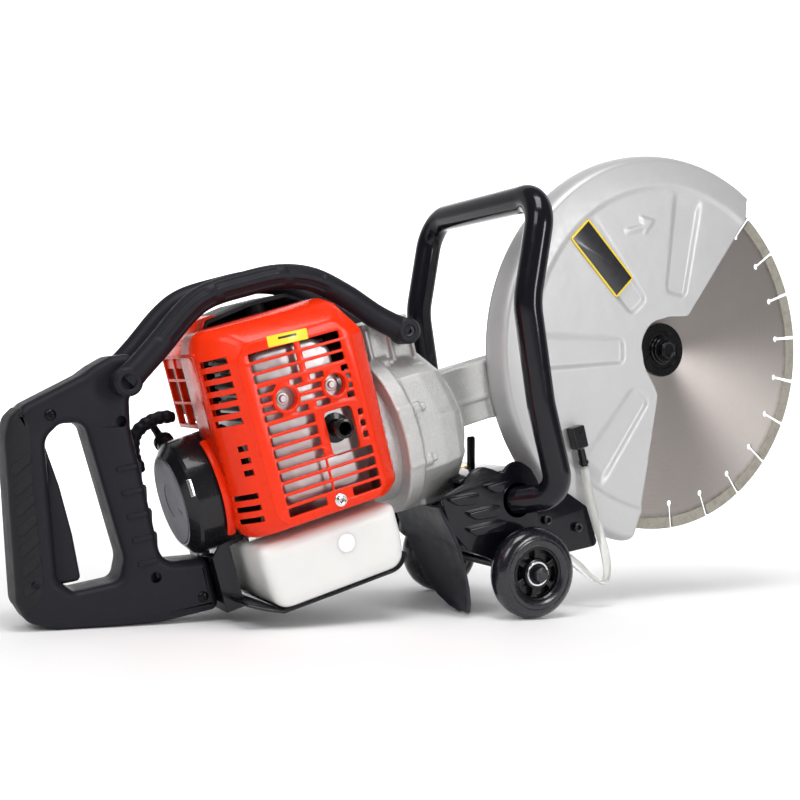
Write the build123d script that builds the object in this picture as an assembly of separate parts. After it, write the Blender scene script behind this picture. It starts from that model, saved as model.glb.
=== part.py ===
from build123d import *
import os
from math import atan2, cos, pi, radians, sin, tan

os.makedirs("parts", exist_ok=True)

# Concrete cut-off saw: a two-stroke engine drives a 350 mm diamond blade through a bevel gearbox.
# All sizes are in millimetres. The saw is modelled square to its crankshaft: the blade centre is the
# origin, +X runs forward along the crank axis, +Y to the far side and +Z up. At the end the whole
# saw is pitched nose-up so that it rests on its two wheels and the foot of its rear handle.

# ---- driving dimensions ----
blade_r = 175.0            # 350 mm blade
segment_h = 11.0           # height of a diamond segment
segment_t = 3.2
core_t = 2.2
segments = 24
slot_depth = 13.0          # gullet below the segments
slot_w = 2.6
slot_end_r = 3.0
slot_phase = 4.9           # degrees from +X to the first gullet
arbor_r = 12.7             # 25.4 mm arbor
mid_y = 30.0               # the engine's middle plane, behind the blade's plane y = 0

flange_r = 26.0
flange_t = 4.0
spindle_r = 8.5
gear_teeth = 19
pinion_teeth = 12
gear_module = 2.3
gear_face = 8.0
backlash = 0.16            # share of the pitch that a tooth and its gap leave free

guard_r = 190.0
guard_front_y = -16.0
guard_back_y = 12.5
guard_t = 2.0
guard_roll = 30.0          # radius of the rolled edge between dish face and rim

arm_r = 17.5
housing_rear_x = -310.0
housing_step_x = -294.0
housing_front_x = -246.0
housing_rear_r = 71.0
housing_front_r = 64.0
housing_wall = 4.0

cyl_x = -385.0             # cylinder axis, upright
bore_r = 22.0              # 44 mm bore
stroke = 34.0
crank_pin_r = 6.0

cover_rear_x, cover_front_x = -466.0, -323.0
cover_low_z, cover_high_z = -41.0, 131.0
cover_near_y = -52.0

tank_rear_x, tank_front_x = -460.0, -334.0
tank_low_z, tank_high_z = -101.5, -45.5
tank_near_y, tank_far_y = -46.0, 104.0

handle_near_y, handle_far_y = 8.0, 52.0
bar_r = 10.5               # curved top bars
bar_off = 11.0             # bar centre line outside the handle's side faces
loop_r = 12.5              # 25 mm tube of the front handle
loop_half = 100.0          # half the distance between its legs

wheel_r = 40.0
hose_tail_r = 4.0           # tail for a hose of 8 mm bore
wheel_w = 24.0
wheel_x, wheel_z = -227.0, -144.0
wheel_track = 168.0
axle_r = 4.0

rope_x = -485.0            # recoil starter rope: its plane, wrap radius and pull direction
rope_wrap_r = 28.0
rope_angle = 30.0

pitch = 17.0               # nose-up angle of the resting saw, degrees
running = 0.05             # radial clearance of a running fit


# ---- helpers ----
def block(x0, x1, y0, y1, z0, z1):
    return Pos((x0 + x1) / 2, (y0 + y1) / 2, (z0 + z1) / 2) * Box(x1 - x0, y1 - y0, z1 - z0)


def rod_x(x0, x1, r, y=mid_y, z=0.0):
    return Pos((x0 + x1) / 2, y, z) * Rot(0, 90, 0) * Cylinder(r, x1 - x0)


def rod_y(y0, y1, r, x=0.0, z=0.0):
    return Pos(x, (y0 + y1) / 2, z) * Rot(90, 0, 0) * Cylinder(r, y1 - y0)


def rod_z(z0, z1, r, x=0.0, y=mid_y):
    return Pos(x, y, (z0 + z1) / 2) * Cylinder(r, z1 - z0)


def ring_x(x0, x1, r_out, r_in, y=mid_y, z=0.0):
    return rod_x(x0, x1, r_out, y, z) - rod_x(x0 - 1, x1 + 1, r_in, y, z)


def ring_y(y0, y1, r_out, r_in, x=0.0, z=0.0):
    return rod_y(y0, y1, r_out, x, z) - rod_y(y0 - 1, y1 + 1, r_in, x, z)


def side_plane(y):
    """Sketch plane facing the near side: local x is +X, local y is +Z, extrusion runs to -Y."""
    return Plane(origin=(0, y, 0), x_dir=(1, 0, 0), z_dir=(0, -1, 0))


def slab(points, y0, y1, corner=0.0):
    """A plate with the given (x, z) outline between two y values, its corners rounded."""
    outline = Polygon(*points, align=None)
    if corner:
        outline = fillet(outline.vertices(), corner)
    return extrude(side_plane(y1) * outline, y1 - y0, dir=(0, -1, 0))


def turned_x(profile, y=mid_y, z=0.0):
    """Revolves (x, r) points about the line along X through y, z."""
    face = Plane(origin=(0, y, z), x_dir=(1, 0, 0), z_dir=(0, -1, 0)) * Polygon(*profile, align=None)
    return revolve(face, Axis((0, y, z), (1, 0, 0)), 360)


def turned_y(profile):
    """Revolves (r, y) points about the blade's axis."""
    face = Plane(origin=(0, 0, 0), x_dir=(1, 0, 0), z_dir=(0, 0, 1)) * Polygon(*profile, align=None)
    return revolve(face, Axis((0, 0, 0), (0, 1, 0)), 360)


def pipe(points, r, bend=0.0, spline=False):
    """A round bar along a polyline with bends, or along a spline."""
    path = Spline(*points) if spline else FilletPolyline(*points, radius=bend)
    return sweep(Plane(path @ 0, z_dir=path % 0) * Circle(r), path=path)


def tube_x(x0, x1, y0, y1, z0, z1, corner):
    """A block along X whose four long edges are rounded."""
    solid = block(x0, x1, y0, y1, z0, z1)
    return fillet(solid.edges().filter_by(Axis.X), corner)


def mirrored(solid):
    """The same piece on the other side of the engine's middle plane."""
    return mirror(solid, Plane(origin=(0, mid_y, 0), z_dir=(0, 1, 0)))


def socket_bolt_y(x, z, y_head, length, r=2.5):
    """Socket cap bolt seen from the near side: the head's underside is at y_head, shank to +Y."""
    head = rod_y(y_head - 2 * r, y_head, 1.8 * r, x, z) - rod_y(y_head - 2 * r - 1, y_head - r, 0.9 * r, x, z)
    return head + rod_y(y_head, y_head + length, r, x, z)


# ---- blade and its fixing ----
def blade_core():
    r = blade_r - segment_h
    disc = rod_y(-core_t / 2, core_t / 2, r) - rod_y(-core_t, core_t, arbor_r)
    gullet = Pos(r - slot_depth / 2, 0, 0) * Box(slot_depth, 2 * core_t, slot_w)
    gullet += rod_y(-core_t, core_t, slot_end_r, x=r - slot_depth)
    for k in range(segments):
        disc -= Rot(0, -(slot_phase + k * 360 / segments), 0) * gullet
    return disc


def blade_segments():
    r = blade_r - segment_h
    band = ring_y(-segment_t / 2, segment_t / 2, blade_r, r)
    for k in range(segments):
        gap = Pos(blade_r, 0, 0) * Box(3 * segment_h, 2 * segment_t, 1.3 * slot_w)
        band -= Rot(0, -(slot_phase + k * 360 / segments), 0) * gap
    return band


def blade_flanges():
    face = core_t / 2
    outer = rod_y(-face - flange_t, -face, flange_r) + rod_y(-face - 2 * flange_t, -face - flange_t, 17.5)
    outer = outer - rod_y(-20, 0, 5.1)
    inner = rod_y(face, face + flange_t, flange_r) + rod_y(-face + 0.2, face, arbor_r - running)
    inner = inner - rod_y(-2, 10, spindle_r)
    return outer + inner


def blade_bolt():
    head_y = -core_t / 2 - 2 * flange_t
    hexagon = extrude(side_plane(head_y) * RegularPolygon(9.8, 6), 7)
    hexagon -= rod_y(head_y - 8, head_y - 5, 4)
    return hexagon + rod_y(head_y, 16, 5)


def spindle():
    shaft = rod_y(-core_t / 2 + 0.2, 62, spindle_r)
    return shaft - rod_y(-5, 18, 5)


# ---- bevel gears ----
def bevel_gear(teeth, mate_teeth, body_depth, bore, phase):
    """Straight bevel gear about local +Z with its pitch apex at the local origin, teeth towards it."""
    pitch_r = gear_module * teeth / 2
    pitch_h = gear_module * mate_teeth / 2
    slant = (pitch_r ** 2 + pitch_h ** 2) ** 0.5
    inner = (slant - gear_face) / slant
    cone = atan2(pitch_r, pitch_h)
    root = 1.15 * gear_module
    tip = 0.75 * gear_module
    # unit normal of the pitch cone, pointing away from the blank
    out_r, out_h = cos(cone), -sin(cone)

    def on_cone(scale, lift):
        return pitch_r * scale + out_r * lift * scale, pitch_h * scale + out_h * lift * scale

    r_out, h_out = on_cone(1.0, -root)
    r_in, h_in = on_cone(inner, -root)
    back = h_out + body_depth
    face = Plane.XZ * Polygon((bore, h_in), (r_in, h_in), (r_out, h_out), (r_out, back), (bore, back), align=None)
    blank = revolve(face, Axis.Z, 360)

    half_pitch = pi / teeth * (0.5 - backlash / 2)
    flank = 0.364                                   # 20 degree pressure angle
    sections = []
    for scale in (inner, 1.0):
        corners = []
        for lift, side in ((-1.1 * root, -1), (-1.1 * root, 1), (tip, 1), (tip, -1)):
            r, h = on_cone(scale, lift)
            half = half_pitch * pitch_r * scale - flank * lift * scale
            corners.append((r, side * half, h))
        sections.append(Wire.make_polygon(corners, close=True))
    tooth = Solid.make_loft(sections, ruled=True)
    solid = blank
    for k in range(teeth):
        solid += Rot(0, 0, phase + k * 360 / teeth) * tooth
    return solid


def spindle_gear():
    gear = bevel_gear(gear_teeth, pinion_teeth, 6.0, spindle_r, 0.0)
    # local +Z becomes +Y, and local +X becomes -X so that a tooth faces the pinion
    place = Location(Plane(origin=(0, mid_y, 0), x_dir=(-1, 0, 0), z_dir=(0, 1, 0)))
    return place * gear


def pinion_shaft():
    gear = bevel_gear(pinion_teeth, gear_teeth, 5.0, 0.5, 180.0 / pinion_teeth)
    place = Location(Plane(origin=(0, mid_y, 0), x_dir=(0, 1, 0), z_dir=(-1, 0, 0)))
    shaft = rod_x(-258, -23, 6)
    return place * gear + shaft


# ---- transmission ----
def transmission_arm():
    near, far = guard_back_y, 2 * mid_y - guard_back_y
    body = rod_x(housing_front_x, -20, arm_r)
    body += tube_x(housing_front_x, -26, near, far, 6, 37, 3)
    for y in (near, far - 3):
        body += block(housing_front_x, -26, y, y + 3, 33, 39)
    # gearcase drum with its nose towards the blade
    body += rod_y(near, 62, 36)
    body += rod_y(6, near + 2, 22.5)
    body += rod_x(housing_front_x, housing_front_x + 10, 46)
    # gear chamber, spindle bearing seats and shaft tunnel
    body -= rod_y(18, 60, 29)
    body -= rod_y(7, 20, 17.5)
    body -= rod_y(5, 8, 12)
    body -= rod_y(59, 63, 29)
    body -= rod_x(-205, -20, 13)
    body -= rod_x(-34, -10, 15.6)
    body -= rod_x(housing_front_x - 1, -196, 16)
    return body


def gearcase_cover():
    lid = rod_y(62, 66, 36) + rod_y(54.5, 62, 28.9)
    lid -= rod_y(50, 64, 20)
    for k in range(4):
        a = radians(45 + 90 * k)
        lid -= rod_y(50, 70, 2.5, 32.4 * cos(a), 32.4 * sin(a))
    return lid


def ball_bearings():
    rings = ring_y(8, 17, 17.45, spindle_r + running)
    rings += ring_y(55, 62, 19.95, spindle_r + running)
    rings += ring_x(-236, -226, 15.95, 6 + running)
    rings += ring_x(-56, -46, 12.95, 6 + running)
    rings += ring_x(-426, -416, 20.95, 8.5 + running)
    rings += ring_x(-354, -344, 20.95, 8.5 + running)
    return rings


def clutch_housing():
    w = housing_wall
    rear, step, front = housing_rear_x, housing_step_x, housing_front_x
    r0, r1 = housing_rear_r, housing_front_r
    shell = turned_x([(rear, 20), (rear, r0), (step, r0), (step + 4, r1 + 4), (front - 22, r1 + 1),
                      (front - 6, r1 - 2), (front, r1 - 12), (front, 20)])
    # top block that carries the curved bars
    shell += tube_x(-302, -256, 8, 52, 40, 100, 3)
    shell += block(-302, -256, -4, 64, 40, 58)
    # two feet for the wheel bracket
    shell += block(-286, -254, 0, 14, -70, -50) + block(-286, -254, 46, 60, -70, -50)
    shell -= turned_x([(rear + w, 0), (rear + w, r0 - w), (step, r0 - w), (step + 2, r1), (front - 22, r1 - w + 1),
                       (front - 7, r1 - w - 4), (front - 6, r1 - 16), (front - 6, 0)])
    shell -= rod_x(rear - 1, rear + 6, 50)
    shell -= rod_x(front - 10, front + 1, 16)
    return shell


def clutch_drum():
    drum = rod_x(-282, -256, 38) - rod_x(-283, -259, 35) - rod_x(-290, -250, 6)
    return drum + ring_x(-256, -252, 14, 6)


def clutch_shoes():
    hub = ring_x(-280, -262, 12, 6.5)
    ring = ring_x(-279, -263, 34, 20)
    ring -= block(-285, -255, mid_y - 2, mid_y + 2, -40, 40)
    links = rod_y(mid_y + 12, mid_y + 24, 3, -271, 0) + rod_y(mid_y - 24, mid_y - 12, 3, -271, 0)
    return hub + ring + links


def flywheel_fan():
    wheel = rod_x(-303, -294, 52) - rod_x(-310, -280, 8.5)
    for k in range(16):
        blade = block(-294, -285, mid_y + 26, mid_y + 51, -1.2, 1.2)
        wheel += Pos(0, mid_y, 0) * Rot(k * 22.5, 0, 0) * Pos(0, -mid_y, 0) * blade
    return wheel + ring_x(-294, -286, 14, 8.5)


# ---- engine ----
def crankshaft():
    pin_z = stroke / 2
    shaft = rod_x(-462, -395, 8.5) + rod_x(-375, -284, 8.5) + rod_x(-284, -262.5, 6.4)
    webs = rod_x(-402, -392, 32) + rod_x(-378, -368, 32)
    webs -= rod_x(-403, -391, 10, z=24) & block(-403, -391, 0, 60, 30, 40)
    return shaft + webs + rod_x(-393, -377, crank_pin_r, z=pin_z)


def connecting_rod():
    low, high = stroke / 2, stroke / 2 + 62
    big = ring_x(-389, -381, 10.5, crank_pin_r + running, z=low)
    small = ring_x(-389, -381, 8, 5 + running, z=high)
    beam = block(-388, -382, mid_y - 4, mid_y + 4, low + 10, high - 7.5)
    return big + small + beam


def piston():
    high = stroke / 2 + 62
    body = rod_z(high - 22, high + 14, bore_r - running, x=cyl_x)
    body -= rod_z(high - 23, high + 9, bore_r - 3, x=cyl_x)
    pin = rod_x(cyl_x - bore_r + 2, cyl_x + bore_r - 2, 5, z=high)
    for z in (high + 5, high + 9):
        body -= ring_z_groove(z)
    return body + pin


def ring_z_groove(z):
    return rod_z(z, z + 1.5, bore_r + 1, x=cyl_x) - rod_z(z - 1, z + 3, bore_r - 1.2, x=cyl_x)


def crankcase():
    body = tube_x(-432, -338, mid_y - 44, mid_y + 44, -44, 50, 14)
    body -= tube_x(-415, -355, mid_y - 38, mid_y + 38, -38, 38, 10)
    body -= rod_z(0, 60, bore_r + 4, x=cyl_x)
    body -= rod_x(-440, -330, 21)
    body += ring_x(-432, -426, 30, 10) + ring_x(-344, -338, 30, 10)
    # front flange meets the clutch housing
    body += ring_x(-334, housing_rear_x, 58, 52)
    body += ring_x(-338, -330, 44, 30) + ring_x(-334, -330, 58, 30)
    # feet on the tank's platform
    body += block(-425, -345, mid_y - 30, mid_y + 30, -44.0, -40)
    return body


def cylinder():
    barrel = rod_z(50, 118, bore_r + 4, x=cyl_x)
    for k in range(9):
        z = 56 + 7 * k
        fin = Pos(cyl_x, mid_y + 4, z) * Box(82, 84, 2.2)
        barrel += fillet(fin.edges().filter_by(Axis.Z), 12)
    barrel += Pos(cyl_x, mid_y, 52) * Box(60, 60, 4)
    barrel -= rod_z(40, 112, bore_r, x=cyl_x)
    barrel -= rod_z(100, 130, 5, x=cyl_x)
    return barrel


def spark_plug():
    return rod_z(112, 118, 4.9, x=cyl_x) + rod_z(118, 124, 9, x=cyl_x) + rod_z(124, 132, 4, x=cyl_x)


def ignition_coil():
    boot = rod_z(125, 140, 8, x=cyl_x) - rod_z(123, 133, 4, x=cyl_x)
    coil = block(-330, -312, mid_y + 60, mid_y + 84, 20, 56)
    lead = pipe([(cyl_x, mid_y + 7.5, 134), (cyl_x + 20, mid_y + 50, 134), (-321, mid_y + 78, 110),
                 (-321, mid_y + 72, 55.5)], 3, spline=True)
    return boot + coil + lead


def muffler():
    box = fillet(block(-428, -345, cover_near_y + 9, -14, -22, 106).edges().filter_by(Axis.Y), 9)
    box -= rod_y(-60, -38, 5.5, -371, 29)
    neck = block(-405, -365, -14, -8, 60, 84)
    outlet = ring_y(-64, -44, 7.5, 5.5, -371, 29) + ring_y(-44, -43, 12, 5.5, -371, 29)
    return box + neck + outlet


def carburettor():
    body = block(-410, -360, 90, 118, 56, 92)
    body -= rod_y(80, 130, 9, cyl_x, 76)
    manifold = block(-404, -366, 76.5, 90, 62, 90) - rod_y(60, 100, 9, cyl_x, 76)
    return body + manifold


def choke_lever():
    lever = slab([(-418, 40), (-411, 40), (-411, 66), (-418, 66)], 112, 115, 2)
    return lever + rod_x(-418, -410.2, 2.5, y=108, z=61) + block(-418, -411, 105, 112, 58.5, 63.5)


def primer_bulb():
    dome = Pos(-395, 107, 44) * Sphere(8) & block(-410, -380, 95, 120, 30, 44)
    return dome + rod_z(44, 50, 5, x=-395, y=107)


def air_filter_base():
    tray = block(-432, -338, 118, 124, 46, 118)
    return tray - rod_y(110, 130, 9, cyl_x, 76)


def air_filter_element():
    pad = fillet(block(-422, -348, 124, 140, 54, 110).edges().filter_by(Axis.Y), 6)
    return pad - rod_y(120, 130, 9, cyl_x, 76)


def air_filter_cover():
    shell = block(-434, -336, 118, 148, 44, 120)
    shell = fillet(shell.edges().filter_by(Axis.Y), 12)
    shell = fillet(shell.faces().sort_by(Axis.Y)[-1].edges(), 6)
    shell -= block(-432, -338, 110, 145, 46, 118)
    return shell


def rope_place(s):
    """A place on the starter rope, s from where it leaves the pulley, with local z along the rope."""
    lean = radians(rope_angle)
    y = mid_y - rope_wrap_r * sin(lean) + s * cos(lean)
    z = rope_wrap_r * cos(lean) + s * sin(lean)
    return Pos(rope_x, y, z) * Rot(rope_angle - 90, 0, 0)


def on_rope(s0, s1, r):
    """A rod along the starter rope between two distances."""
    return rope_place((s0 + s1) / 2) * Cylinder(r, s1 - s0)


def starter_housing():
    shell = turned_x([(-498, 0), (-498, 38), (-492, 45), (-440, 45), (-440, 41.5), (-491, 41.5),
                      (-495, 36), (-495, 0)])
    shell += rope_place(38.5) * Box(13, 13, 11)
    shell -= on_rope(20, 50, 3.2)
    # centre post for the pulley, legs to the crankcase
    shell += rod_x(-496, -466, 6)
    for y in (mid_y - 41, mid_y + 41):
        shell += block(-446, -432, y - 5, y + 5, -12, 12)
    return shell


def starter_pulley():
    groove = rod_x(rope_x - 3, rope_x + 3, 40) - rod_x(rope_x - 3, rope_x + 3, rope_wrap_r)
    wheel = rod_x(rope_x - 5, rope_x + 5, 36) - groove
    return wheel - rod_x(-500, -440, 6 + running)


def rewind_spring():
    coil = Part()
    for r in (34, 29, 24, 19, 14):
        coil += ring_x(-477, -469, r, r - 1)
    coil += block(-477, -469, mid_y - 0.6, mid_y + 0.6, 13.2, 33.5)
    return coil


def pull_handle():
    y = mid_y + 30
    outline = [(-470, 66), (-512, 66), (-514, 40), (-512, 24), (-503, 24), (-503, 40), (-494, 46), (-478, 46),
               (-478, 56), (-470, 57)]
    grip = slab(outline, y - 5.5, y + 5.5, 3)
    return grip + on_rope(40, 56, 3.1) + on_rope(12, 42, 1.9)


def engine_cover():
    """Pressed red cover over the muffler side: a slotted face, bevelled sides and a rear grid wall."""
    w = 2.0
    outline = [(cover_rear_x, 20), (cover_rear_x, 112), (-460, 130), (-400, 130), (-364, 134), (-346, 134),
               (-322, 84), (-321, 44), (-325, cover_low_z + 2), (cover_rear_x, cover_low_z)]
    shell = slab(outline, cover_near_y, 12, 5)
    inner = [(x + (3 if x < cyl_x else -3), z + (3 if z < 40 else -3)) for x, z in outline]
    shell -= slab(inner, cover_near_y + w, 30, 4)
    # cooling slots, two columns
    for k in range(12):
        z = -22 + 11.5 * k
        for x0, x1 in ((-436, -394), (-388, -346)):
            near_window = x0 > -390 and 8 < z < 52
            if not near_window:
                shell -= block(x0, x1, cover_near_y - 1, cover_near_y + w + 1, z, z + 6.5)
    shell -= block(-382, -358, cover_near_y - 1, cover_near_y + w + 1, 10, 50)
    # rear wall, carried past the shell to the far side, with the cooling grid and its rim
    rear = cover_rear_x
    shell += block(rear, rear + 3, 10, 64, 46, 116)
    shell += block(rear, rear + 7, 61, 64, 54, 116) + block(rear, rear + 7, 12, 64, 113, 116)
    for j in range(3):
        for k in range(3):
            shell -= block(rear - 1, rear + 4, -17 + 27 * j, 5 + 27 * j, 57 + 19 * k, 73 + 19 * k)
    shell -= rod_x(-520, -430, 53)
    # the front wall stops short of the crankcase flange, the floor short of its foot
    shell -= block(-332, -318, -24, 20, -45, 50)
    shell -= block(-417, -353, -5, 20, -45, -35)
    return shell


def top_shroud():
    """Black plastic shroud over the cylinder head and the far side."""
    outer = [(-457, 60), (-457, 108), (-436, 137), (-395, 143), (-362, 143), (-346, 134), (-326, 112), (-326, 60)]
    inner = [(-454, 50), (-454, 107), (-435, 134), (-394, 140), (-363, 140), (-348, 132), (-329, 111), (-329, 50)]
    shell = slab(outer, 12.5, 90, 6) - slab(inner, 0, 88, 5)
    for k in range(6):
        shell -= block(-440 + 17 * k, -431 + 17 * k, 86, 92, 96, 126)
    shell -= block(-416, -354, 86, 92, 50, 96)
    return shell


# ---- rear D handle ----
def floor_z(x):
    """Height of the floor under the resting saw, in the saw's own axes."""
    a = radians(pitch)
    contact = wheel_x * sin(a) + wheel_z * cos(a) - wheel_r
    return (contact - x * sin(a)) / cos(a)


foot_rear_x, foot_front_x = -617.0, -575.0
trigger_pin_x, trigger_pin_z = -591.0, 72.0
handle_outline = [(-594, 110), (-537, 122), (-520, 129), (-504, 127), (-499, 108), (-514, 92), (-519, 70),
                  (-523, -43), (-486, -52), (-487, -95), (-533, -90), (foot_front_x, floor_z(foot_front_x)),
                  (foot_rear_x, floor_z(foot_rear_x)), (-636, -54), (-640, -40), (-614, 88), (-607, 102)]
handle_opening = [(-586, 80), (-572, 88), (-554, 84), (-552, -30), (-560, -46), (-596, -42), (-606, -30)]
trigger_well = [(-601, 91), (-583, 91), (-583, -38), (-633, -38), (-626, 0)]
overlay_outline = [(-596, 108), (-591, 92), (-614, -26), (-620, -42), (-636, -48), (-641, -38), (-615, 89), (-607, 103)]


def rear_handle_solid():
    body = slab(handle_outline, handle_near_y, handle_far_y, 3)
    body -= slab(handle_opening, handle_near_y - 1, handle_far_y + 1, 5)
    sides = [f for f in body.faces() if abs(f.normal_at().Y) > 0.9]
    body = fillet([e for f in sides for e in f.edges()], 2.5)
    body -= slab(trigger_well, 19, 41)
    # lightening bores
    for x, z in ((-527, 77), (-532, -54)):
        body -= rod_y(0, 60, 4.5, x, z)
    return body - grip_overlay()


def rear_handle_near_half():
    half = rear_handle_solid() & block(-700, -400, 0, mid_y, -200, 200)
    for x, z in handle_screw_spots:
        half -= rod_y(handle_near_y - 1, handle_near_y + 2.5, 4, x, z)
    return half - rod_y(10, 40, 2, trigger_pin_x, trigger_pin_z)


def rear_handle_far_half():
    half = rear_handle_solid() & block(-700, -400, mid_y, 60, -200, 200)
    # the trigger's hinge pin is moulded to this half
    return half + rod_y(12, 45, 2, trigger_pin_x, trigger_pin_z)


def grip_overlay():
    """Soft skin on the outside of the rear bar, flush with the handle's sides."""
    core = [(x + 3, z) for x, z in overlay_outline]
    core[0], core[1] = (-570, 112), (-570, 92)
    return slab(overlay_outline, handle_near_y, handle_far_y) - slab(core, handle_near_y + 2.5, handle_far_y - 2.5)


def throttle_trigger():
    shape = [(-597, 77), (-589, 80), (-583, 72), (-585, -34), (-592, -37), (-607, -33), (-598, 55)]
    body = slab(shape, 21, 39, 1.5)
    return body - rod_y(0, 60, 2 + running, trigger_pin_x, trigger_pin_z)


def stop_switch():
    return rod_y(52.2, 56, 6, -548, 103) + block(-550, -546, 56, 59, 98, 108)


def handle_bracket():
    outline = [(-485.8, -97), (-485.8, -50), (-478, -42), (-456, -38), (-456, -43), (-469.5, -45), (-469.5, -97)]
    body = slab(outline, -2, 62)
    body -= block(-483, -440, 1, 59, -94, -30)
    return body - rod_x(-500, -430, 52)


# ---- handles over the engine ----
def top_bars():
    y = handle_near_y - bar_off
    points = [(-517, y, 107), (-486, y, 127), (-456, y, 148), (-434, y, 157), (-402, y, 159), (-370, y, 158),
              (-342, y, 149), (-316, y, 129), (-292, y, 105), (-268, y, 86)]
    bar = pipe(points, bar_r, spline=True)
    for x, z in (bar_ends):
        bar += rod_y(y - bar_r + 0.3, y + bar_r - 0.3, bar_r + 1, x, z)
        bar -= rod_y(y - 20, y + 20, 3.2, x, z)
    return bar + mirrored(bar)


def loop_handle():
    near, far = mid_y - loop_half, mid_y + loop_half
    top = [(-141, 173), (-181, 88), (-190, 0), (-190, -84)]
    points = [(-214, near + 40, -84), (top[3][0], near, top[3][1]), (top[2][0], near, top[2][1]),
              (top[1][0], near, top[1][1]), (top[0][0], near, top[0][1]), (top[0][0], far, top[0][1]),
              (top[1][0], far, top[1][1]), (top[2][0], far, top[2][1]), (top[3][0], far, top[3][1]),
              (-214, far - 40, -84)]
    return pipe(points, loop_r, bend=26)


# ---- tank ----
def fuel_tank():
    body = block(tank_rear_x, tank_front_x, tank_near_y, tank_far_y, tank_low_z, tank_high_z)
    body = fillet(body.edges().filter_by(Axis.Y), 15)
    body = fillet(body.edges().filter_by(Axis.X), 10)
    hollow = block(tank_rear_x + 3, tank_front_x - 3, tank_near_y + 3, tank_far_y - 3, tank_low_z + 3, tank_high_z - 3)
    body -= fillet(hollow.edges().filter_by(Axis.Y), 12)
    body += rod_z(tank_high_z - 5, tank_high_z + 8, 15, x=-365, y=94) - rod_z(-60, -20, 12, x=-365, y=94)
    return body


def fuel_cap():
    z = tank_high_z + 8
    cap = rod_z(z + 0.2, z + 12, 19, x=-365, y=94) + rod_z(z - 6, z + 1, 11.9, x=-365, y=94)
    for k in range(12):
        a = radians(30 * k)
        cap -= rod_z(z - 10, z + 20, 1.6, x=-365 + 19.4 * cos(a), y=94 + 19.4 * sin(a))
    return cap


def tank_skid():
    """Bent strap that follows the tank's underside from the bracket to the tank's front corner."""
    x, z = tank_front_x - 15, tank_low_z + 15
    curl = [(radians(a), r) for r, turns in ((18.4, range(-90, -14, 15)), (15.6, range(-15, -91, -15))) for a in turns]
    strap = [(-480, -88), (-450, tank_low_z - 3.4)] + [(x + r * cos(a), z + r * sin(a)) for a, r in curl]
    strap += [(-449, tank_low_z - 0.6), (-479, -85)]
    return slab(strap, -36, 90)


# ---- wheels ----
def tyre(y):
    face = Plane(origin=(wheel_x, y, wheel_z), x_dir=(1, 0, 0), z_dir=(0, 0, 1))
    profile = face * Polygon((22, -8), (26, -11), (32, -12), (37, -9), (wheel_r, -2), (wheel_r, 2), (37, 9), (32, 12),
                             (26, 11), (22, 8), align=None)
    return revolve(profile, Axis((wheel_x, y, wheel_z), (0, 1, 0)), 360)


def hub(y):
    body = ring_y(y - 8, y + 8, 22, 19, wheel_x, wheel_z) + ring_y(y - 12, y + 12, 12, axle_r + running, wheel_x, wheel_z)
    for k in range(6):
        spoke = Pos(15.5, 0, 0) * Box(9, 12, 5)
        body += Pos(wheel_x, y, wheel_z) * Rot(0, 60 * k + 15, 0) * spoke
    return body


def wheel_axle():
    near = mid_y - wheel_track / 2 - wheel_w / 2
    far = mid_y + wheel_track / 2 + wheel_w / 2
    rod = rod_y(near - 4, far + 4, axle_r, wheel_x, wheel_z)
    for y0 in (near - 5, far + 1):
        rod += extrude(Plane(origin=(wheel_x, y0 + 4, wheel_z), x_dir=(1, 0, 0), z_dir=(0, -1, 0)) * RegularPolygon(7, 6), 4)
    return rod


def wheel_bracket():
    """Folded steel carrier under the clutch housing: lobed cheeks, cross plates and the guard's stay."""
    cheek = [(-286, -58), (-262, -54), (-252, -46), (-240, -44), (-230, -50), (-222, -56), (-212, -50), (-202, -50),
             (-192, -60), (-186, -78), (-198, -108), (-212, -157), (-242, -157), (-250, -128), (-272, -112),
             (-284, -90)]
    body = slab(cheek, -33, -29, 3) + slab(cheek, 89, 93, 3)
    body += block(-283, -250, -29, 89, -74, -70)
    body += block(-277, -273, -29, 89, -106, -74)
    body += slab([(-277, -105), (-273, -109), (-204, -132), (-200, -128)], -29, 89)
    # split clamps round the ends of the front handle
    body += rod_y(-33, -22, 17, -212, -84) + rod_y(82, 93, 17, -212, -84)
    body -= rod_y(-60, 120, axle_r, wheel_x, wheel_z)
    return body + guard_stay()


def guard_stay():
    outline = [(-157, -91), (-134, -116), (-131, -155), (-163, -151), (-196, -136), (-225, -121), (-222, -96)]
    plate = slab(outline, guard_front_y - 4, guard_front_y, 4)
    return plate + block(-222, -208, -29, guard_front_y - 3, -118, -100)


def splash_flap():
    """Rubber tongue that hangs in front of the tank, wide at the top and narrow at its tip."""
    profile = [(-289, -70), (-284, -70), (-281, -100), (-283, -135), (-279, -166), (-283, -167), (-288, -135),
               (-286, -100)]
    sheet = slab(profile, -22, 58)
    front = Plane(origin=(-240, 0, 0), x_dir=(0, 1, 0), z_dir=(-1, 0, 0))
    far_side = Polygon((60, -95), (54, -108), (8, -168), (8, -190), (90, -190), (90, -95), align=None)
    return sheet - extrude(front * far_side, 80, dir=(-1, 0, 0))


# ---- guard ----
def guard_profile(inset):
    """(r, y) line of the dish: flat face, rolled edge, straight rim, offset inwards by inset."""
    front = guard_front_y + inset
    outer = guard_r - inset
    roll = guard_roll - inset
    points = [(34, front)]
    for k in range(7):
        a = radians(15 * k)
        points.append((outer - roll + roll * sin(a), front + roll * 0.7 - roll * 0.7 * cos(a)))
    points.append((outer, guard_back_y))
    return points


guard_cut = [(22, 20), (230, 186), (260, -260), (-120, -260), (-84, -168), (-24, -28)]


def guard_shell():
    loop = guard_profile(0.0) + list(reversed(guard_profile(guard_t)))
    dish = turned_y(loop)
    dish -= slab(guard_cut, -60, 60)
    return dish


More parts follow.
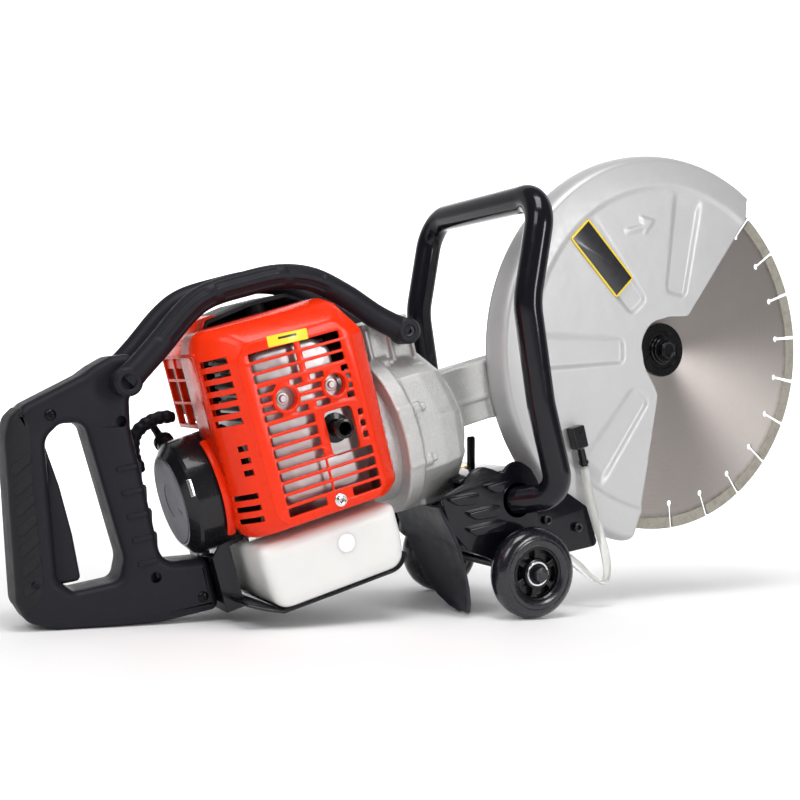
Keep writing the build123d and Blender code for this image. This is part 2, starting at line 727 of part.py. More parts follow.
def guard_back_plate():
    plate = rod_y(guard_back_y - guard_t, guard_back_y, guard_r - guard_t - 0.1) - rod_y(0, 60, 23)
    plate -= slab([(20, 30), (230, 230), (260, -260), (-120, -260), (-90, -150), (-32, -20)], -60, 60)
    plate += ring_y(guard_back_y - guard_t, guard_back_y, 38, 23)
    return plate


# ---- water ----
def water_elbow():
    y = guard_front_y - 7
    body = fillet(block(-135, -119, y - 7, y + 6.8, -62, -40).edges().filter_by(Axis.Z), 3)
    spout = rod_z(-78, -62, 3.4, x=-129, y=y)
    return body + spout


def water_hose():
    y = guard_front_y - 7
    tube = pipe([(-129, y, -79), (-126, y, -110), (-118, y - 2, -150), (-118, y - 3, -175), (-134, y - 2, -188),
                 (-152, y + 4, -176), (-168, y + 14, -150), (-200, y + 29, -118), (-224, y + 41, -97),
                 (tap_x, tap_y, -82.6)], 4.2, spline=True)
    return tube


tap_x, tap_y = -232.0, 20.0


def water_tap():
    """Tap body with a collared supply tail towards the blade and a stub down to the hose."""
    body = rod_z(-75, -50, 7, x=tap_x, y=tap_y) + rod_z(-81, -75, 3.2, x=tap_x, y=tap_y)
    body += rod_x(tap_x, -222, 6, y=tap_y, z=-66) + rod_x(-222, -203, hose_tail_r, y=tap_y, z=-66)
    return body


def tap_lever():
    arm = slab([(-236, -62), (-229, -62), (-219, -25), (-225, -23)], 6, 9)
    return arm + rod_y(9, 12.8, 4, tap_x, -60)


# ---- fasteners ----
bar_ends = [(-517, 107), (-268, 86)]
stay_bolt_spots = [(-180.5, -114), (-150, -131)]
handle_screw_spots = [(-578, 97), (-499, -80), (-545, -66)]
cover_bolt_spot = (-384, -31)


def case_bolts():
    group = Part()
    for x, z in bar_ends:
        group += socket_bolt_y(x, z, handle_near_y - bar_off - bar_r, 32, 3)
    group += mirrored(group)
    for x, z in stay_bolt_spots:
        group += socket_bolt_y(x, z, guard_front_y - 4, 8, 2.5)
    group += socket_bolt_y(*cover_bolt_spot, cover_near_y, 6, 2.5)
    for k in range(4):
        a = radians(45 + 90 * k)
        x, z = 32.4 * cos(a), 32.4 * sin(a)
        group += rod_y(66, 70, 4.4, x, z) + rod_y(52, 66, 2.4, x, z)
    return group


def handle_screws():
    group = Part()
    y = handle_near_y
    for x, z in handle_screw_spots:
        head = rod_y(y - 0.5, y + 2.5, 4, x, z)
        head -= block(x - 2.6, x + 2.6, y - 1, y + 0.8, z - 0.5, z + 0.5)
        head -= block(x - 0.5, x + 0.5, y - 1, y + 0.8, z - 2.6, z + 2.6)
        group += head + rod_y(y + 2.5, y + 30, 1.8, x, z)
    return group


near_wheel_y = mid_y - wheel_track / 2
far_wheel_y = mid_y + wheel_track / 2


def near_tyre():
    return tyre(near_wheel_y)


def near_hub():
    return hub(near_wheel_y)


def far_tyre():
    return tyre(far_wheel_y)


def far_hub():
    return hub(far_wheel_y)


makers = [
    blade_core, blade_segments, blade_flanges, blade_bolt, spindle, spindle_gear, pinion_shaft,
    clutch_drum, clutch_shoes, flywheel_fan, crankshaft, connecting_rod, piston, ball_bearings,
    transmission_arm, gearcase_cover, clutch_housing, crankcase, cylinder, spark_plug, ignition_coil,
    muffler, carburettor, choke_lever, primer_bulb, air_filter_base, air_filter_element,
    air_filter_cover, starter_housing, starter_pulley, rewind_spring, pull_handle, engine_cover, top_shroud,
    rear_handle_near_half, rear_handle_far_half, grip_overlay, throttle_trigger, stop_switch,
    handle_bracket, top_bars, loop_handle, fuel_tank, fuel_cap, tank_skid, near_tyre, near_hub, far_tyre,
    far_hub, wheel_axle, wheel_bracket, splash_flap, guard_shell, guard_back_plate,
    water_elbow, water_hose, water_tap, tap_lever, case_bolts, handle_screws,
]

# (host, guest): the host is machined or notched where the guest sits
seats = [
    ("rear_handle_near_half", "case_bolts"), ("rear_handle_far_half", "case_bolts"),
    ("rear_handle_near_half", "handle_screws"), ("rear_handle_far_half", "handle_screws"),
    ("clutch_housing", "case_bolts"), ("transmission_arm", "case_bolts"), ("engine_cover", "case_bolts"),
    ("guard_shell", "case_bolts"), ("wheel_bracket", "case_bolts"), ("engine_cover", "crankcase"),
    ("engine_cover", "muffler"), ("top_shroud", "ignition_coil"), ("top_shroud", "cylinder"),
    ("top_shroud", "engine_cover"), ("wheel_bracket", "loop_handle"), ("handle_bracket", "tank_skid"),
    ("handle_bracket", "fuel_tank"), ("tank_skid", "fuel_tank"), ("crankcase", "fuel_tank"),
    ("engine_cover", "starter_housing"), ("ignition_coil", "crankcase"), ("clutch_housing", "transmission_arm"),
]


def resting_place(solids):
    """Pitches the saw nose-up and moves it so that its box stands centred on the origin."""
    pitched = Rot(0, -pitch, 0)
    box = Compound(children=[pitched * s for s in solids]).bounding_box()
    return Pos(-(box.min.X + box.max.X) / 2, -(box.min.Y + box.max.Y) / 2, -box.min.Z) * pitched


def main():
    pieces = {maker.__name__: maker() for maker in makers}
    for host, guest in seats:
        pieces[host] -= pieces[guest]
    place = resting_place(pieces.values())
    for name, solid in pieces.items():
        export_step(place * solid, f"parts/{name}.step")
    print("blade centre at", tuple(round(v, 4) for v in place.position))


main()
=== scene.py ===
"""Looks of the concrete cut-off saw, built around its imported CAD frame."""
from math import acos, atan2, cos, pi, radians, sin, sqrt, tan

import bmesh
import bpy
import numpy as np
from mathutils import Matrix, Vector


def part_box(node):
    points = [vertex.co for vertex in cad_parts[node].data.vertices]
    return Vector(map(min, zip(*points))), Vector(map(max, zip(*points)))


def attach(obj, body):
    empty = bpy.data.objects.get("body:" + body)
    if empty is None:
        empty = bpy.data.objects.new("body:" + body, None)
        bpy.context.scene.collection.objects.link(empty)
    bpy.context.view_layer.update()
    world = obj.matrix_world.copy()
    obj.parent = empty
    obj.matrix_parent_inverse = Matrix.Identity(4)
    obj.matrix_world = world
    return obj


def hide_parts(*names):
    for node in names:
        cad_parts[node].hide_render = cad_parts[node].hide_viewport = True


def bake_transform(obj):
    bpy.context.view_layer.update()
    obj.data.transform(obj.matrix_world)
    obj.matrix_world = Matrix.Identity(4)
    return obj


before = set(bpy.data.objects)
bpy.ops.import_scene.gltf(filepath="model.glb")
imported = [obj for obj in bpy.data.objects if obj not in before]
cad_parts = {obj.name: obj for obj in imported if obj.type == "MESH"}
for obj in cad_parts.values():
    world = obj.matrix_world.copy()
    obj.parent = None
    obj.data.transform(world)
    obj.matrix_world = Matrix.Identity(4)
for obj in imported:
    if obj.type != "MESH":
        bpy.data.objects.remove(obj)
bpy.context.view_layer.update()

# ---- the saw's own axes ----
# Pieces are drawn in millimetres from the blade centre: +X forward along the crank axis, +Y to the
# far side, +Z up. The frame holds the saw pitched nose-up on its wheels and its handle foot.
PITCH = radians(17)
MM = 0.001


def middle(node):
    low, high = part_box(node)
    return (low + high) / 2


BLADE_CENTRE = middle("blade_core")
TILT = Matrix.Rotation(-PITCH, 4, "Y")
SAW = Matrix.Translation(BLADE_CENTRE) @ TILT @ Matrix.Scale(MM, 4)
FROM_ROW = SAW.inverted()


def centre_of(node):
    """Middle of a CAD node in the saw's axes, mm."""
    return FROM_ROW @ middle(node)


MID_Y = 30.0                       # the engine's middle plane
WHEEL = centre_of("near_hub")
WHEEL_X, WHEEL_Z = WHEEL.x, WHEEL.z
NEAR_WHEEL_Y, FAR_WHEEL_Y = WHEEL.y, centre_of("far_hub").y


# ---- node materials ----
class Surface:
    """A node material whose textures are laid out in the saw's axes, in millimetres."""

    def __init__(self, name, colour, rough, metal=0.0, **inputs):
        self.material = bpy.data.materials.new(name)
        self.material.use_nodes = True
        self.material.diffuse_color = (*colour, 1)
        self.tree = self.material.node_tree
        self.bsdf = self.tree.nodes["Principled BSDF"]
        self.set("Base Color", (*colour, 1))
        self.set("Roughness", rough)
        self.set("Metallic", metal)
        for key, value in inputs.items():
            self.set(key.replace("_", " "), value)
        self.colour = colour
        where = self.node("ShaderNodeTexCoord").outputs["Object"]
        place = self.node("ShaderNodeMapping")
        place.vector_type = "TEXTURE"
        place.inputs["Location"].default_value = BLADE_CENTRE
        place.inputs["Rotation"].default_value = (0, -PITCH, 0)
        place.inputs["Scale"].default_value = (MM, MM, MM)
        self.link(where, place.inputs["Vector"])
        self.place = place.outputs["Vector"]
        self.heights = []

    def set(self, key, value):
        self.bsdf.inputs[key].default_value = value

    def node(self, kind, **values):
        node = self.tree.nodes.new(kind)
        for key, value in values.items():
            setattr(node, key, value)
        return node

    def link(self, source, target):
        self.tree.links.new(source, target)

    def plug(self, value, target):
        if isinstance(value, bpy.types.NodeSocket):
            self.link(value, target)
        else:
            target.default_value = value

    def maths(self, kind, a, b=0.0, c=0.0):
        node = self.node("ShaderNodeMath", operation=kind)
        for value, target in zip((a, b, c), node.inputs):
            self.plug(value, target)
        return node.outputs[0]

    def noise(self, size, detail=2.0, rough=0.5, where=None):
        """Noise whose blotches are about size mm across, 0 to 1."""
        node = self.node("ShaderNodeTexNoise")
        self.link(where or self.place, node.inputs["Vector"])
        node.inputs["Scale"].default_value = 1.0 / size
        node.inputs["Detail"].default_value = detail
        node.inputs["Roughness"].default_value = rough
        return node.outputs["Fac"]

    def cells(self, size):
        node = self.node("ShaderNodeTexVoronoi")
        self.link(self.place, node.inputs["Vector"])
        node.inputs["Scale"].default_value = 1.0 / size
        return node.outputs["Distance"]

    def ramp(self, source, low, high, a, b):
        """Maps source from low..high onto a..b."""
        node = self.node("ShaderNodeMapRange")
        for key, value in zip(("From Min", "From Max", "To Min", "To Max"), (low, high, a, b)):
            node.inputs[key].default_value = value
        self.link(source, node.inputs["Value"])
        return node.outputs["Result"]

    def mix(self, share, a, b):
        node = self.node("ShaderNodeMix", data_type="RGBA")
        for value, key in ((share, 0), (a, 6), (b, 7)):
            if isinstance(value, tuple):
                value = (*value, 1)
            self.plug(value, node.inputs[key])
        return node.outputs[2]

    def tint(self, share, colour):
        """Mixes another colour over the base colour."""
        target = self.bsdf.inputs["Base Color"]
        base = target.links[0].from_socket if target.links else self.colour
        self.link(self.mix(share, base, colour), target)

    def vary_roughness(self, source, low, high):
        self.link(self.ramp(source, 0.3, 0.7, low, high), self.bsdf.inputs["Roughness"])

    def relief(self, height, depth):
        """Adds a height field of the given depth in mm to the surface's bump."""
        self.heights.append((height, depth))

    def finish(self, edge=0.0):
        """Joins the relief and softens sharp edges by a radius of edge mm."""
        normal = None
        if edge:
            node = self.node("ShaderNodeBevel", samples=4)
            node.inputs["Radius"].default_value = edge * MM
            normal = node.outputs["Normal"]
        for height, depth in self.heights:
            bump = self.node("ShaderNodeBump")
            bump.inputs["Distance"].default_value = depth * MM
            self.link(height, bump.inputs["Height"])
            if normal:
                self.link(normal, bump.inputs["Normal"])
            normal = bump.outputs["Normal"]
        if normal:
            self.link(normal, self.bsdf.inputs["Normal"])
        return self.material


def matt_black(name="matt_black", colour=(0.011, 0.011, 0.016), rough=0.48, grain=0.9, depth=0.05, edge=0.5):
    """Moulded black plastic with a fine spark-eroded grain and faint handling marks."""
    s = Surface(name, colour, rough)
    s.set("Specular IOR Level", 0.22)
    s.relief(s.noise(grain, 3, 0.6), depth)
    s.relief(s.noise(28, 2), 0.12)
    s.vary_roughness(s.noise(14, 4, 0.6), rough - 0.05, rough + 0.07)
    s.tint(s.ramp(s.noise(5, 5, 0.7), 0.55, 0.9, 0, 0.2), (0.03, 0.03, 0.038))
    return s.finish(edge)


def gloss_black(name="gloss_black", colour=(0.006, 0.006, 0.009), rough=0.16, peel=0.035, edge=0.6):
    """Black powder coat: glossy, with orange peel and thin dust."""
    s = Surface(name, colour, rough, Coat_Weight=0.3, Coat_Roughness=0.05)
    s.set("Specular IOR Level", 0.2)
    s.relief(s.noise(2.2, 2), peel)
    s.relief(s.noise(18, 1), 0.1)
    s.vary_roughness(s.noise(9, 4, 0.65), rough - 0.03, rough + 0.08)
    s.tint(s.ramp(s.noise(3, 6, 0.75), 0.6, 0.9, 0, 0.15), (0.03, 0.03, 0.038))
    return s.finish(edge)


def red_gloss():
    """Glossy red-orange moulding with slight sink marks."""
    s = Surface("red_gloss", (0.84, 0.030, 0.002), 0.3, Coat_Weight=0.16, Coat_Roughness=0.1)
    s.set("Specular IOR Level", 0.16)
    s.set("Subsurface Weight", 0.06)
    s.set("Subsurface Radius", (0.004, 0.001, 0.0005))
    s.relief(s.noise(22, 2), 0.22)
    s.relief(s.noise(1.4, 2), 0.012)
    s.vary_roughness(s.noise(16, 4, 0.6), 0.22, 0.34)
    s.tint(s.ramp(s.noise(40, 3), 0.35, 0.7, 0, 0.3), (0.74, 0.019, 0.001))
    return s.finish(0.5)


def cast_alloy():
    """Sand-cast aluminium: pebbled skin, bright crests and slightly darker hollows."""
    s = Surface("cast_alloy", (0.60, 0.60, 0.59), 0.46, 0.78)
    skin = s.noise(1.3, 4, 0.65)
    s.relief(skin, 0.55)
    s.relief(s.noise(16, 2), 0.35)
    s.vary_roughness(s.noise(4, 5, 0.7), 0.36, 0.60)
    s.tint(s.ramp(skin, 0.52, 0.75, 0, 0.6), (0.82, 0.82, 0.8))
    s.tint(s.ramp(s.noise(30, 4, 0.6), 0.5, 0.8, 0, 0.35), (0.4, 0.4, 0.39))
    return s.finish(0.8)


def silver_paint():
    """Metallic silver paint with fine flakes over pressed sheet."""
    s = Surface("silver_paint", (0.57, 0.565, 0.57), 0.44, 0.45, Coat_Weight=0.1, Coat_Roughness=0.3)
    flake = s.noise(0.5, 2, 0.8)
    s.tint(s.ramp(flake, 0.55, 0.8, 0, 0.4), (0.85, 0.86, 0.88))
    s.tint(s.ramp(s.noise(45, 4, 0.6), 0.45, 0.8, 0, 0.2), (0.52, 0.52, 0.53))
    s.relief(s.noise(1.1, 3, 0.6), 0.03)
    s.relief(s.noise(34, 2), 0.5)
    s.vary_roughness(s.noise(7, 4, 0.6), 0.4, 0.5)
    return s.finish(0.5)


def machined(name, colour, rough):
    """Machined or plated metal with faint tool marks."""
    s = Surface(name, colour, rough, 1.0)
    s.relief(s.noise(0.35, 2, 0.6), 0.02)
    s.vary_roughness(s.noise(5, 5, 0.7), rough - 0.05, rough + 0.09)
    s.tint(s.ramp(s.noise(11, 4, 0.6), 0.5, 0.8, 0, 0.4), tuple(0.6 * c for c in colour))
    return s.finish(0.3)


def brushed_blade():
    """Ground steel core: fine rings around the blade's axis and a radially split highlight."""
    s = Surface("brushed_blade", (0.54, 0.49, 0.465), 0.34, 1.0)
    s.set("Anisotropic", 0.9)
    s.set("Anisotropic Rotation", 0.25)
    tangent = s.node("ShaderNodeTangent", direction_type="RADIAL", axis="Y")
    s.link(tangent.outputs["Tangent"], s.bsdf.inputs["Tangent"])
    apart = s.node("ShaderNodeSeparateXYZ")
    s.link(s.place, apart.inputs["Vector"])
    x, z = apart.outputs["X"], apart.outputs["Z"]
    radius = s.maths("SQRT", s.maths("ADD", s.maths("MULTIPLY", x, x), s.maths("MULTIPLY", z, z)))
    turn = s.maths("ARCTAN2", z, x)
    polar = s.node("ShaderNodeCombineXYZ")
    s.link(s.maths("MULTIPLY", radius, 3.0), polar.inputs["X"])
    s.link(s.maths("MULTIPLY", turn, 6.0), polar.inputs["Y"])
    rings = s.noise(1.0, 2, 0.6, polar.outputs["Vector"])
    s.relief(rings, 0.012)
    s.vary_roughness(rings, 0.3, 0.36)
    s.tint(s.ramp(rings, 0.5, 0.75, 0, 0.35), (0.36, 0.32, 0.30))
    s.tint(s.ramp(s.noise(60, 3, 0.6), 0.5, 0.8, 0, 0.3), (0.6, 0.55, 0.52))
    # the last few millimetres under the segments are blued by the laser weld
    weld = s.maths("MULTIPLY", s.ramp(radius, 159, 163, 0, 1), s.ramp(s.noise(6, 3), 0.3, 0.7, 0.2, 0.8))
    s.tint(weld, (0.27, 0.24, 0.20))
    return s.finish()


def diamond_segment():
    """Sintered metal with exposed grit."""
    s = Surface("diamond_segment", (0.36, 0.335, 0.285), 0.62, 0.45)
    grit = s.noise(0.9, 5, 0.75)
    s.relief(grit, 0.3)
    s.relief(s.cells(1.4), 0.12)
    s.tint(s.ramp(grit, 0.5, 0.72, 0, 0.8), (0.55, 0.52, 0.45))
    s.tint(s.ramp(s.noise(7, 4), 0.45, 0.75, 0, 0.5), (0.22, 0.20, 0.17))
    return s.finish(0.4)


def milky_tank():
    """Blow-moulded translucent polyethylene, cloudier where its wall is thick."""
    s = Surface("milky_tank", (0.86, 0.865, 0.84), 0.34)
    s.set("Subsurface Weight", 0.75)
    s.set("Subsurface Radius", (0.012, 0.012, 0.011))
    s.set("Subsurface Scale", 1.0)
    s.set("Transmission Weight", 0.12)
    s.relief(s.noise(26, 3), 0.6)
    s.relief(s.noise(2.2, 3), 0.03)
    s.vary_roughness(s.noise(12, 4, 0.6), 0.28, 0.42)
    s.tint(s.ramp(s.noise(38, 3), 0.4, 0.75, 0, 0.45), (0.95, 0.95, 0.93))
    return s.finish(0.8)


def clear_tube():
    """Clear flexible vinyl with a milky tint."""
    s = Surface("clear_tube", (0.93, 0.93, 0.90), 0.16, IOR=1.45)
    s.set("Transmission Weight", 0.65)
    s.relief(s.noise(3, 2), 0.08)
    s.vary_roughness(s.noise(6, 4), 0.1, 0.24)
    s.tint(s.ramp(s.noise(8, 4, 0.6), 0.45, 0.8, 0, 0.4), (0.84, 0.84, 0.78))
    return s.finish()


def soft_rubber():
    """Matt rubber skin with a leathery grain."""
    s = Surface("soft_rubber", (0.010, 0.010, 0.016), 0.42)
    s.relief(s.cells(1.1), 0.05)
    s.relief(s.noise(9, 4, 0.6), 0.12)
    s.vary_roughness(s.noise(10, 4), 0.34, 0.48)
    s.tint(s.ramp(s.noise(4, 5, 0.7), 0.5, 0.85, 0, 0.3), (0.03, 0.03, 0.036))
    return s.finish(0.5)


def urethane():
    """Poured urethane wheel: deep gloss with fine moulding rings and floor dust."""
    s = Surface("urethane", (0.007, 0.007, 0.011), 0.2, Coat_Weight=0.35, Coat_Roughness=0.1)
    s.relief(s.noise(12, 2), 0.12)
    s.vary_roughness(s.noise(5, 5, 0.7), 0.15, 0.34)
    s.tint(s.ramp(s.noise(3, 6, 0.75), 0.55, 0.9, 0, 0.35), (0.055, 0.055, 0.06))
    return s.finish(0.5)


def muffler_steel():
    """Thin bright pressed steel, rippled and slightly heat-stained."""
    s = Surface("muffler_steel", (0.52, 0.50, 0.50), 0.36, 0.7)
    s.relief(s.noise(24, 2, 0.4), 1.3)
    s.relief(s.noise(1.0, 2), 0.02)
    s.vary_roughness(s.noise(9, 4), 0.3, 0.42)
    s.tint(s.ramp(s.noise(24, 3), 0.5, 0.75, 0, 0.5), (0.50, 0.44, 0.43))
    return s.finish(0.6)


def foam():
    """Open-cell filter foam."""
    s = Surface("foam", (0.09, 0.09, 0.09), 0.95)
    s.relief(s.cells(1.8), 0.9)
    s.tint(s.ramp(s.cells(1.8), 0.2, 0.6, 0, 0.8), (0.02, 0.02, 0.02))
    return s.finish()


def white_film():
    """White printed film of the round sticker."""
    s = Surface("sticker_white", (0.9, 0.9, 0.93), 0.3, Coat_Weight=0.3)
    s.relief(s.noise(2, 2), 0.02)
    s.tint(s.ramp(s.noise(6, 3), 0.4, 0.8, 0, 0.3), (0.84, 0.86, 0.95))
    return s.finish()


def braided_cord():
    """Dark starter cord with a fibrous surface."""
    s = Surface("rope_fibre", (0.05, 0.05, 0.055), 0.8)
    s.relief(s.noise(0.6, 4, 0.8), 0.2)
    s.tint(s.ramp(s.noise(1.2, 4), 0.5, 0.8, 0, 0.5), (0.12, 0.12, 0.13))
    return s.finish()


def label_plate(name, field, border, centre, half, turn, rim):
    """Printed label: a field with a border, laid out by its centre, half sizes and turn in x-z."""
    s = Surface(name, field, 0.35, Coat_Weight=0.4, Coat_Roughness=0.15)
    apart = s.node("ShaderNodeSeparateXYZ")
    s.link(s.place, apart.inputs["Vector"])
    dx = s.maths("SUBTRACT", apart.outputs["X"], centre[0])
    dz = s.maths("SUBTRACT", apart.outputs["Z"], centre[1])
    along = s.maths("ADD", s.maths("MULTIPLY", dx, cos(turn)), s.maths("MULTIPLY", dz, sin(turn)))
    across = s.maths("SUBTRACT", s.maths("MULTIPLY", dz, cos(turn)), s.maths("MULTIPLY", dx, sin(turn)))
    a = s.maths("SUBTRACT", s.maths("ABSOLUTE", along), half[0] - rim)
    b = s.maths("SUBTRACT", s.maths("ABSOLUTE", across), half[1] - rim)
    s.tint(s.maths("GREATER_THAN", s.maths("MAXIMUM", a, b), 0.0), border)
    s.along, s.across = along, across
    s.relief(s.noise(1.5, 3), 0.02)
    s.vary_roughness(s.noise(6, 3), 0.3, 0.42)
    return s


# ---- mesh building, all in millimetres in the saw's axes ----
def paint(obj, material):
    obj.data.materials.clear()
    obj.data.materials.append(material)


def keep(obj, body, slot_name, material, *stands_for):
    """Places a finished mesh in the row frame, gives it its material and its body."""
    obj.data.transform(SAW)
    paint(obj, material)
    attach(obj, body)
    if stands_for:
        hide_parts(*stands_for)


def linked(name, data):
    """A new object in the scene."""
    obj = bpy.data.objects.new(name, data)
    bpy.context.scene.collection.objects.link(obj)
    return obj


def shade(mesh, angle):
    """Smooth shading, kept crisp over edges sharper than angle degrees."""
    mesh.polygons.foreach_set("use_smooth", [True] * len(mesh.polygons))
    mesh.set_sharp_from_angle(angle=radians(angle))


def from_bmesh(name, bm, smooth=32):
    """Turns a bmesh into an object with outward normals; smooth 0 leaves it flat-shaded."""
    bmesh.ops.recalc_face_normals(bm, faces=bm.faces)
    mesh = bpy.data.meshes.new(name)
    bm.to_mesh(mesh)
    bm.free()
    if smooth:
        shade(mesh, smooth)
    return linked(name, mesh)


def bridge(bm, rows, closed=True):
    """Faces between neighbouring rows of vertices; closed also joins each row's end to its start."""
    for low, high in zip(rows, rows[1:]):
        for k in range(len(low) if closed else len(low) - 1):
            n = (k + 1) % len(low)
            bm.faces.new([low[k], low[n], high[n], high[k]])


def modified(obj, kind, **settings):
    """Applies one modifier to an object."""
    mod = obj.modifiers.new("shape", kind)
    for key, value in settings.items():
        setattr(mod, key, value)
    bpy.context.view_layer.update()
    graph = bpy.context.evaluated_depsgraph_get()
    mesh = bpy.data.meshes.new_from_object(obj.evaluated_get(graph), depsgraph=graph)
    old = obj.data
    obj.modifiers.clear()
    obj.data = mesh
    bpy.data.meshes.remove(old)
    return obj


def bevelled(obj, width, steps=3, angle=35):
    """Rounds the edges sharper than angle degrees."""
    return modified(obj, "BEVEL", width=width, segments=steps, limit_method="ANGLE",
                    angle_limit=radians(angle), harden_normals=False)


def cut(obj, *tools):
    """Subtracts other objects and removes them."""
    for tool in tools:
        modified(obj, "BOOLEAN", operation="DIFFERENCE", object=tool, solver="EXACT")
        bpy.data.objects.remove(tool)
    return obj


def melted(obj, voxel, smoothing, factor):
    """Fuses overlapping shells into one skin with soft inner corners, like a casting."""
    modified(obj, "REMESH", mode="VOXEL", voxel_size=voxel, adaptivity=0.0)
    modified(obj, "SMOOTH", factor=factor, iterations=smoothing)
    shade(obj.data, 180)
    return obj


def rounded(points, radius, steps=6):
    """Closed 2-D outline with its corners rounded; radius may be one number or one for each point."""
    out = []
    count = len(points)
    for i in range(count):
        r = radius[i] if isinstance(radius, (list, tuple)) else radius
        a, b, c = (Vector(points[j % count]) for j in (i - 1, i, i + 1))
        u, v = (a - b).normalized(), (c - b).normalized()
        spread = acos(max(-1, min(1, u.dot(v))))
        if r <= 0 or spread > pi - 0.02:
            out.append(tuple(b))
            continue
        reach = min(r / tan(spread / 2), 0.49 * (a - b).length, 0.49 * (c - b).length)
        r = reach * tan(spread / 2)
        hub = b + (u + v).normalized() * r / sin(spread / 2)
        start, end = b + u * reach - hub, b + v * reach - hub
        sweep = atan2(start.x * end.y - start.y * end.x, start.dot(end))
        for k in range(steps + 1):
            t = sweep * k / steps
            out.append((hub.x + start.x * cos(t) - start.y * sin(t),
                        hub.y + start.x * sin(t) + start.y * cos(t)))
    return out


def circle(x, z, r, steps, turn=0.0):
    """A regular outline of steps points; six make a hexagon."""
    angles = (turn + 2 * pi * k / steps for k in range(steps))
    return [(x + r * cos(a), z + r * sin(a)) for a in angles]


def rect(x0, x1, z0, z1, r=0.0):
    return rounded([(x0, z0), (x1, z0), (x1, z1), (x0, z1)], r)


def plate(name, outlines, y0, y1, edge=0.5, steps=3, smooth=40):
    """A plate in the x-z plane from y0 to y1 with rounded edges; outlines after the first are holes."""
    curve = bpy.data.curves.new(name, "CURVE")
    curve.dimensions = "2D"
    curve.fill_mode = "BOTH"
    for outline in outlines:
        spline = curve.splines.new("POLY")
        spline.points.add(len(outline) - 1)
        for point, (x, z) in zip(spline.points, outline):
            point.co = (x, z, 0, 1)
        spline.use_cyclic_u = True
    curve.extrude = (y1 - y0) / 2 - edge
    curve.bevel_depth = edge
    curve.bevel_resolution = steps
    curve.offset = -edge
    temp = linked(name, curve)
    bpy.context.view_layer.update()
    mesh = bpy.data.meshes.new_from_object(temp.evaluated_get(bpy.context.evaluated_depsgraph_get()))
    bpy.data.objects.remove(temp)
    upright = Matrix(((1, 0, 0, 0), (0, 0, 1, (y0 + y1) / 2), (0, 1, 0, 0), (0, 0, 0, 1)))
    mesh.transform(upright)
    bm = bmesh.new()
    bm.from_mesh(mesh)
    bmesh.ops.remove_doubles(bm, verts=bm.verts, dist=0.004)
    bpy.data.meshes.remove(mesh)
    return from_bmesh(name, bm, smooth)


def along_y(x, z, y=0.0):
    """Place whose local z points to +Y."""
    return Matrix.Translation((x, y, z)) @ Matrix.Rotation(-pi / 2, 4, "X")


def along_x(x, y=MID_Y, z=0.0):
    """Place whose local z points to +X."""
    return Matrix.Translation((x, y, z)) @ Matrix.Rotation(pi / 2, 4, "Y")


def add_turned(bm, place, profile, steps=96):
    """A closed body of revolution about the place's z; profile runs from axis to axis as (height, radius)."""
    rings = []
    for height, r in profile:
        if r <= 1e-6:
            rings.append([bm.verts.new(place @ Vector((0, 0, height)))])
        else:
            rings.append([bm.verts.new(place @ Vector((u, v, height))) for u, v in circle(0, 0, r, steps)])
    for low, high in zip(rings, rings[1:]):
        for k in range(steps):
            n = (k + 1) % steps
            loop = [low[k % len(low)], low[n % len(low)], high[n % len(high)], high[k % len(high)]]
            corners = list(dict.fromkeys(loop))
            if len(corners) > 2:
                bm.faces.new(corners)
    if len(rings[0]) > 1 and len(rings[-1]) > 1:
        # a ring: join the last circle to the first
        for k in range(steps):
            n = (k + 1) % steps
            bm.faces.new([rings[-1][k], rings[-1][n], rings[0][n], rings[0][k]])


def turned(name, place, profile, steps=96, smooth=32):
    """A body of revolution as its own object."""
    bm = bmesh.new()
    add_turned(bm, place, profile, steps)
    return from_bmesh(name, bm, smooth)


def add_box(bm, x0, x1, y0, y1, z0, z1):
    place = Matrix.Translation(((x0 + x1) / 2, (y0 + y1) / 2, (z0 + z1) / 2))
    bmesh.ops.create_cube(bm, size=1.0, matrix=place @ Matrix.Diagonal((x1 - x0, y1 - y0, z1 - z0, 1)))


def add_rod(bm, start, end, r, steps=32, r_end=None):
    """A rod between two points, tapering to r_end if that is given."""
    start, end = Vector(start), Vector(end)
    turn = Vector((0, 0, 1)).rotation_difference(end - start).to_matrix().to_4x4()
    place = Matrix.Translation((start + end) / 2) @ turn
    bmesh.ops.create_cone(bm, cap_ends=True, segments=steps, radius1=r, radius2=r if r_end is None else r_end,
                          depth=(end - start).length, matrix=place)


def box_piece(name, x0, x1, y0, y1, z0, z1):
    bm = bmesh.new()
    add_box(bm, x0, x1, y0, y1, z0, z1)
    return from_bmesh(name, bm, 0)


def centre_line(points, bend, step=2.0):
    """A polyline in space with its corners rounded by arcs, resampled every step mm."""
    pts = [Vector(p) for p in points]
    bends = bend if isinstance(bend, (list, tuple)) else [bend] * len(pts)
    path = [pts[0]]
    for a, b, c, r in zip(pts, pts[1:], pts[2:], bends[1:]):
        u, v = (a - b).normalized(), (c - b).normalized()
        spread = u.angle(v)
        if spread > pi - 0.01 or r <= 0:
            path.append(b)
            continue
        reach = min(r / tan(spread / 2), 0.49 * (a - b).length, 0.49 * (c - b).length)
        r = reach * tan(spread / 2)
        hub = b + (u + v).normalized() * r / sin(spread / 2)
        start, end = b + u * reach - hub, b + v * reach - hub
        steps = max(3, int((pi - spread) * r / step))
        for k in range(steps + 1):
            path.append(hub + start.slerp(end, k / steps) * r)
    path.append(pts[-1])
    out = [path[0]]
    for a, b in zip(path, path[1:]):
        n = max(1, int((b - a).length / step))
        out += [a.lerp(b, (k + 1) / n) for k in range(n) if (b - a).length > 1e-4]
    return out


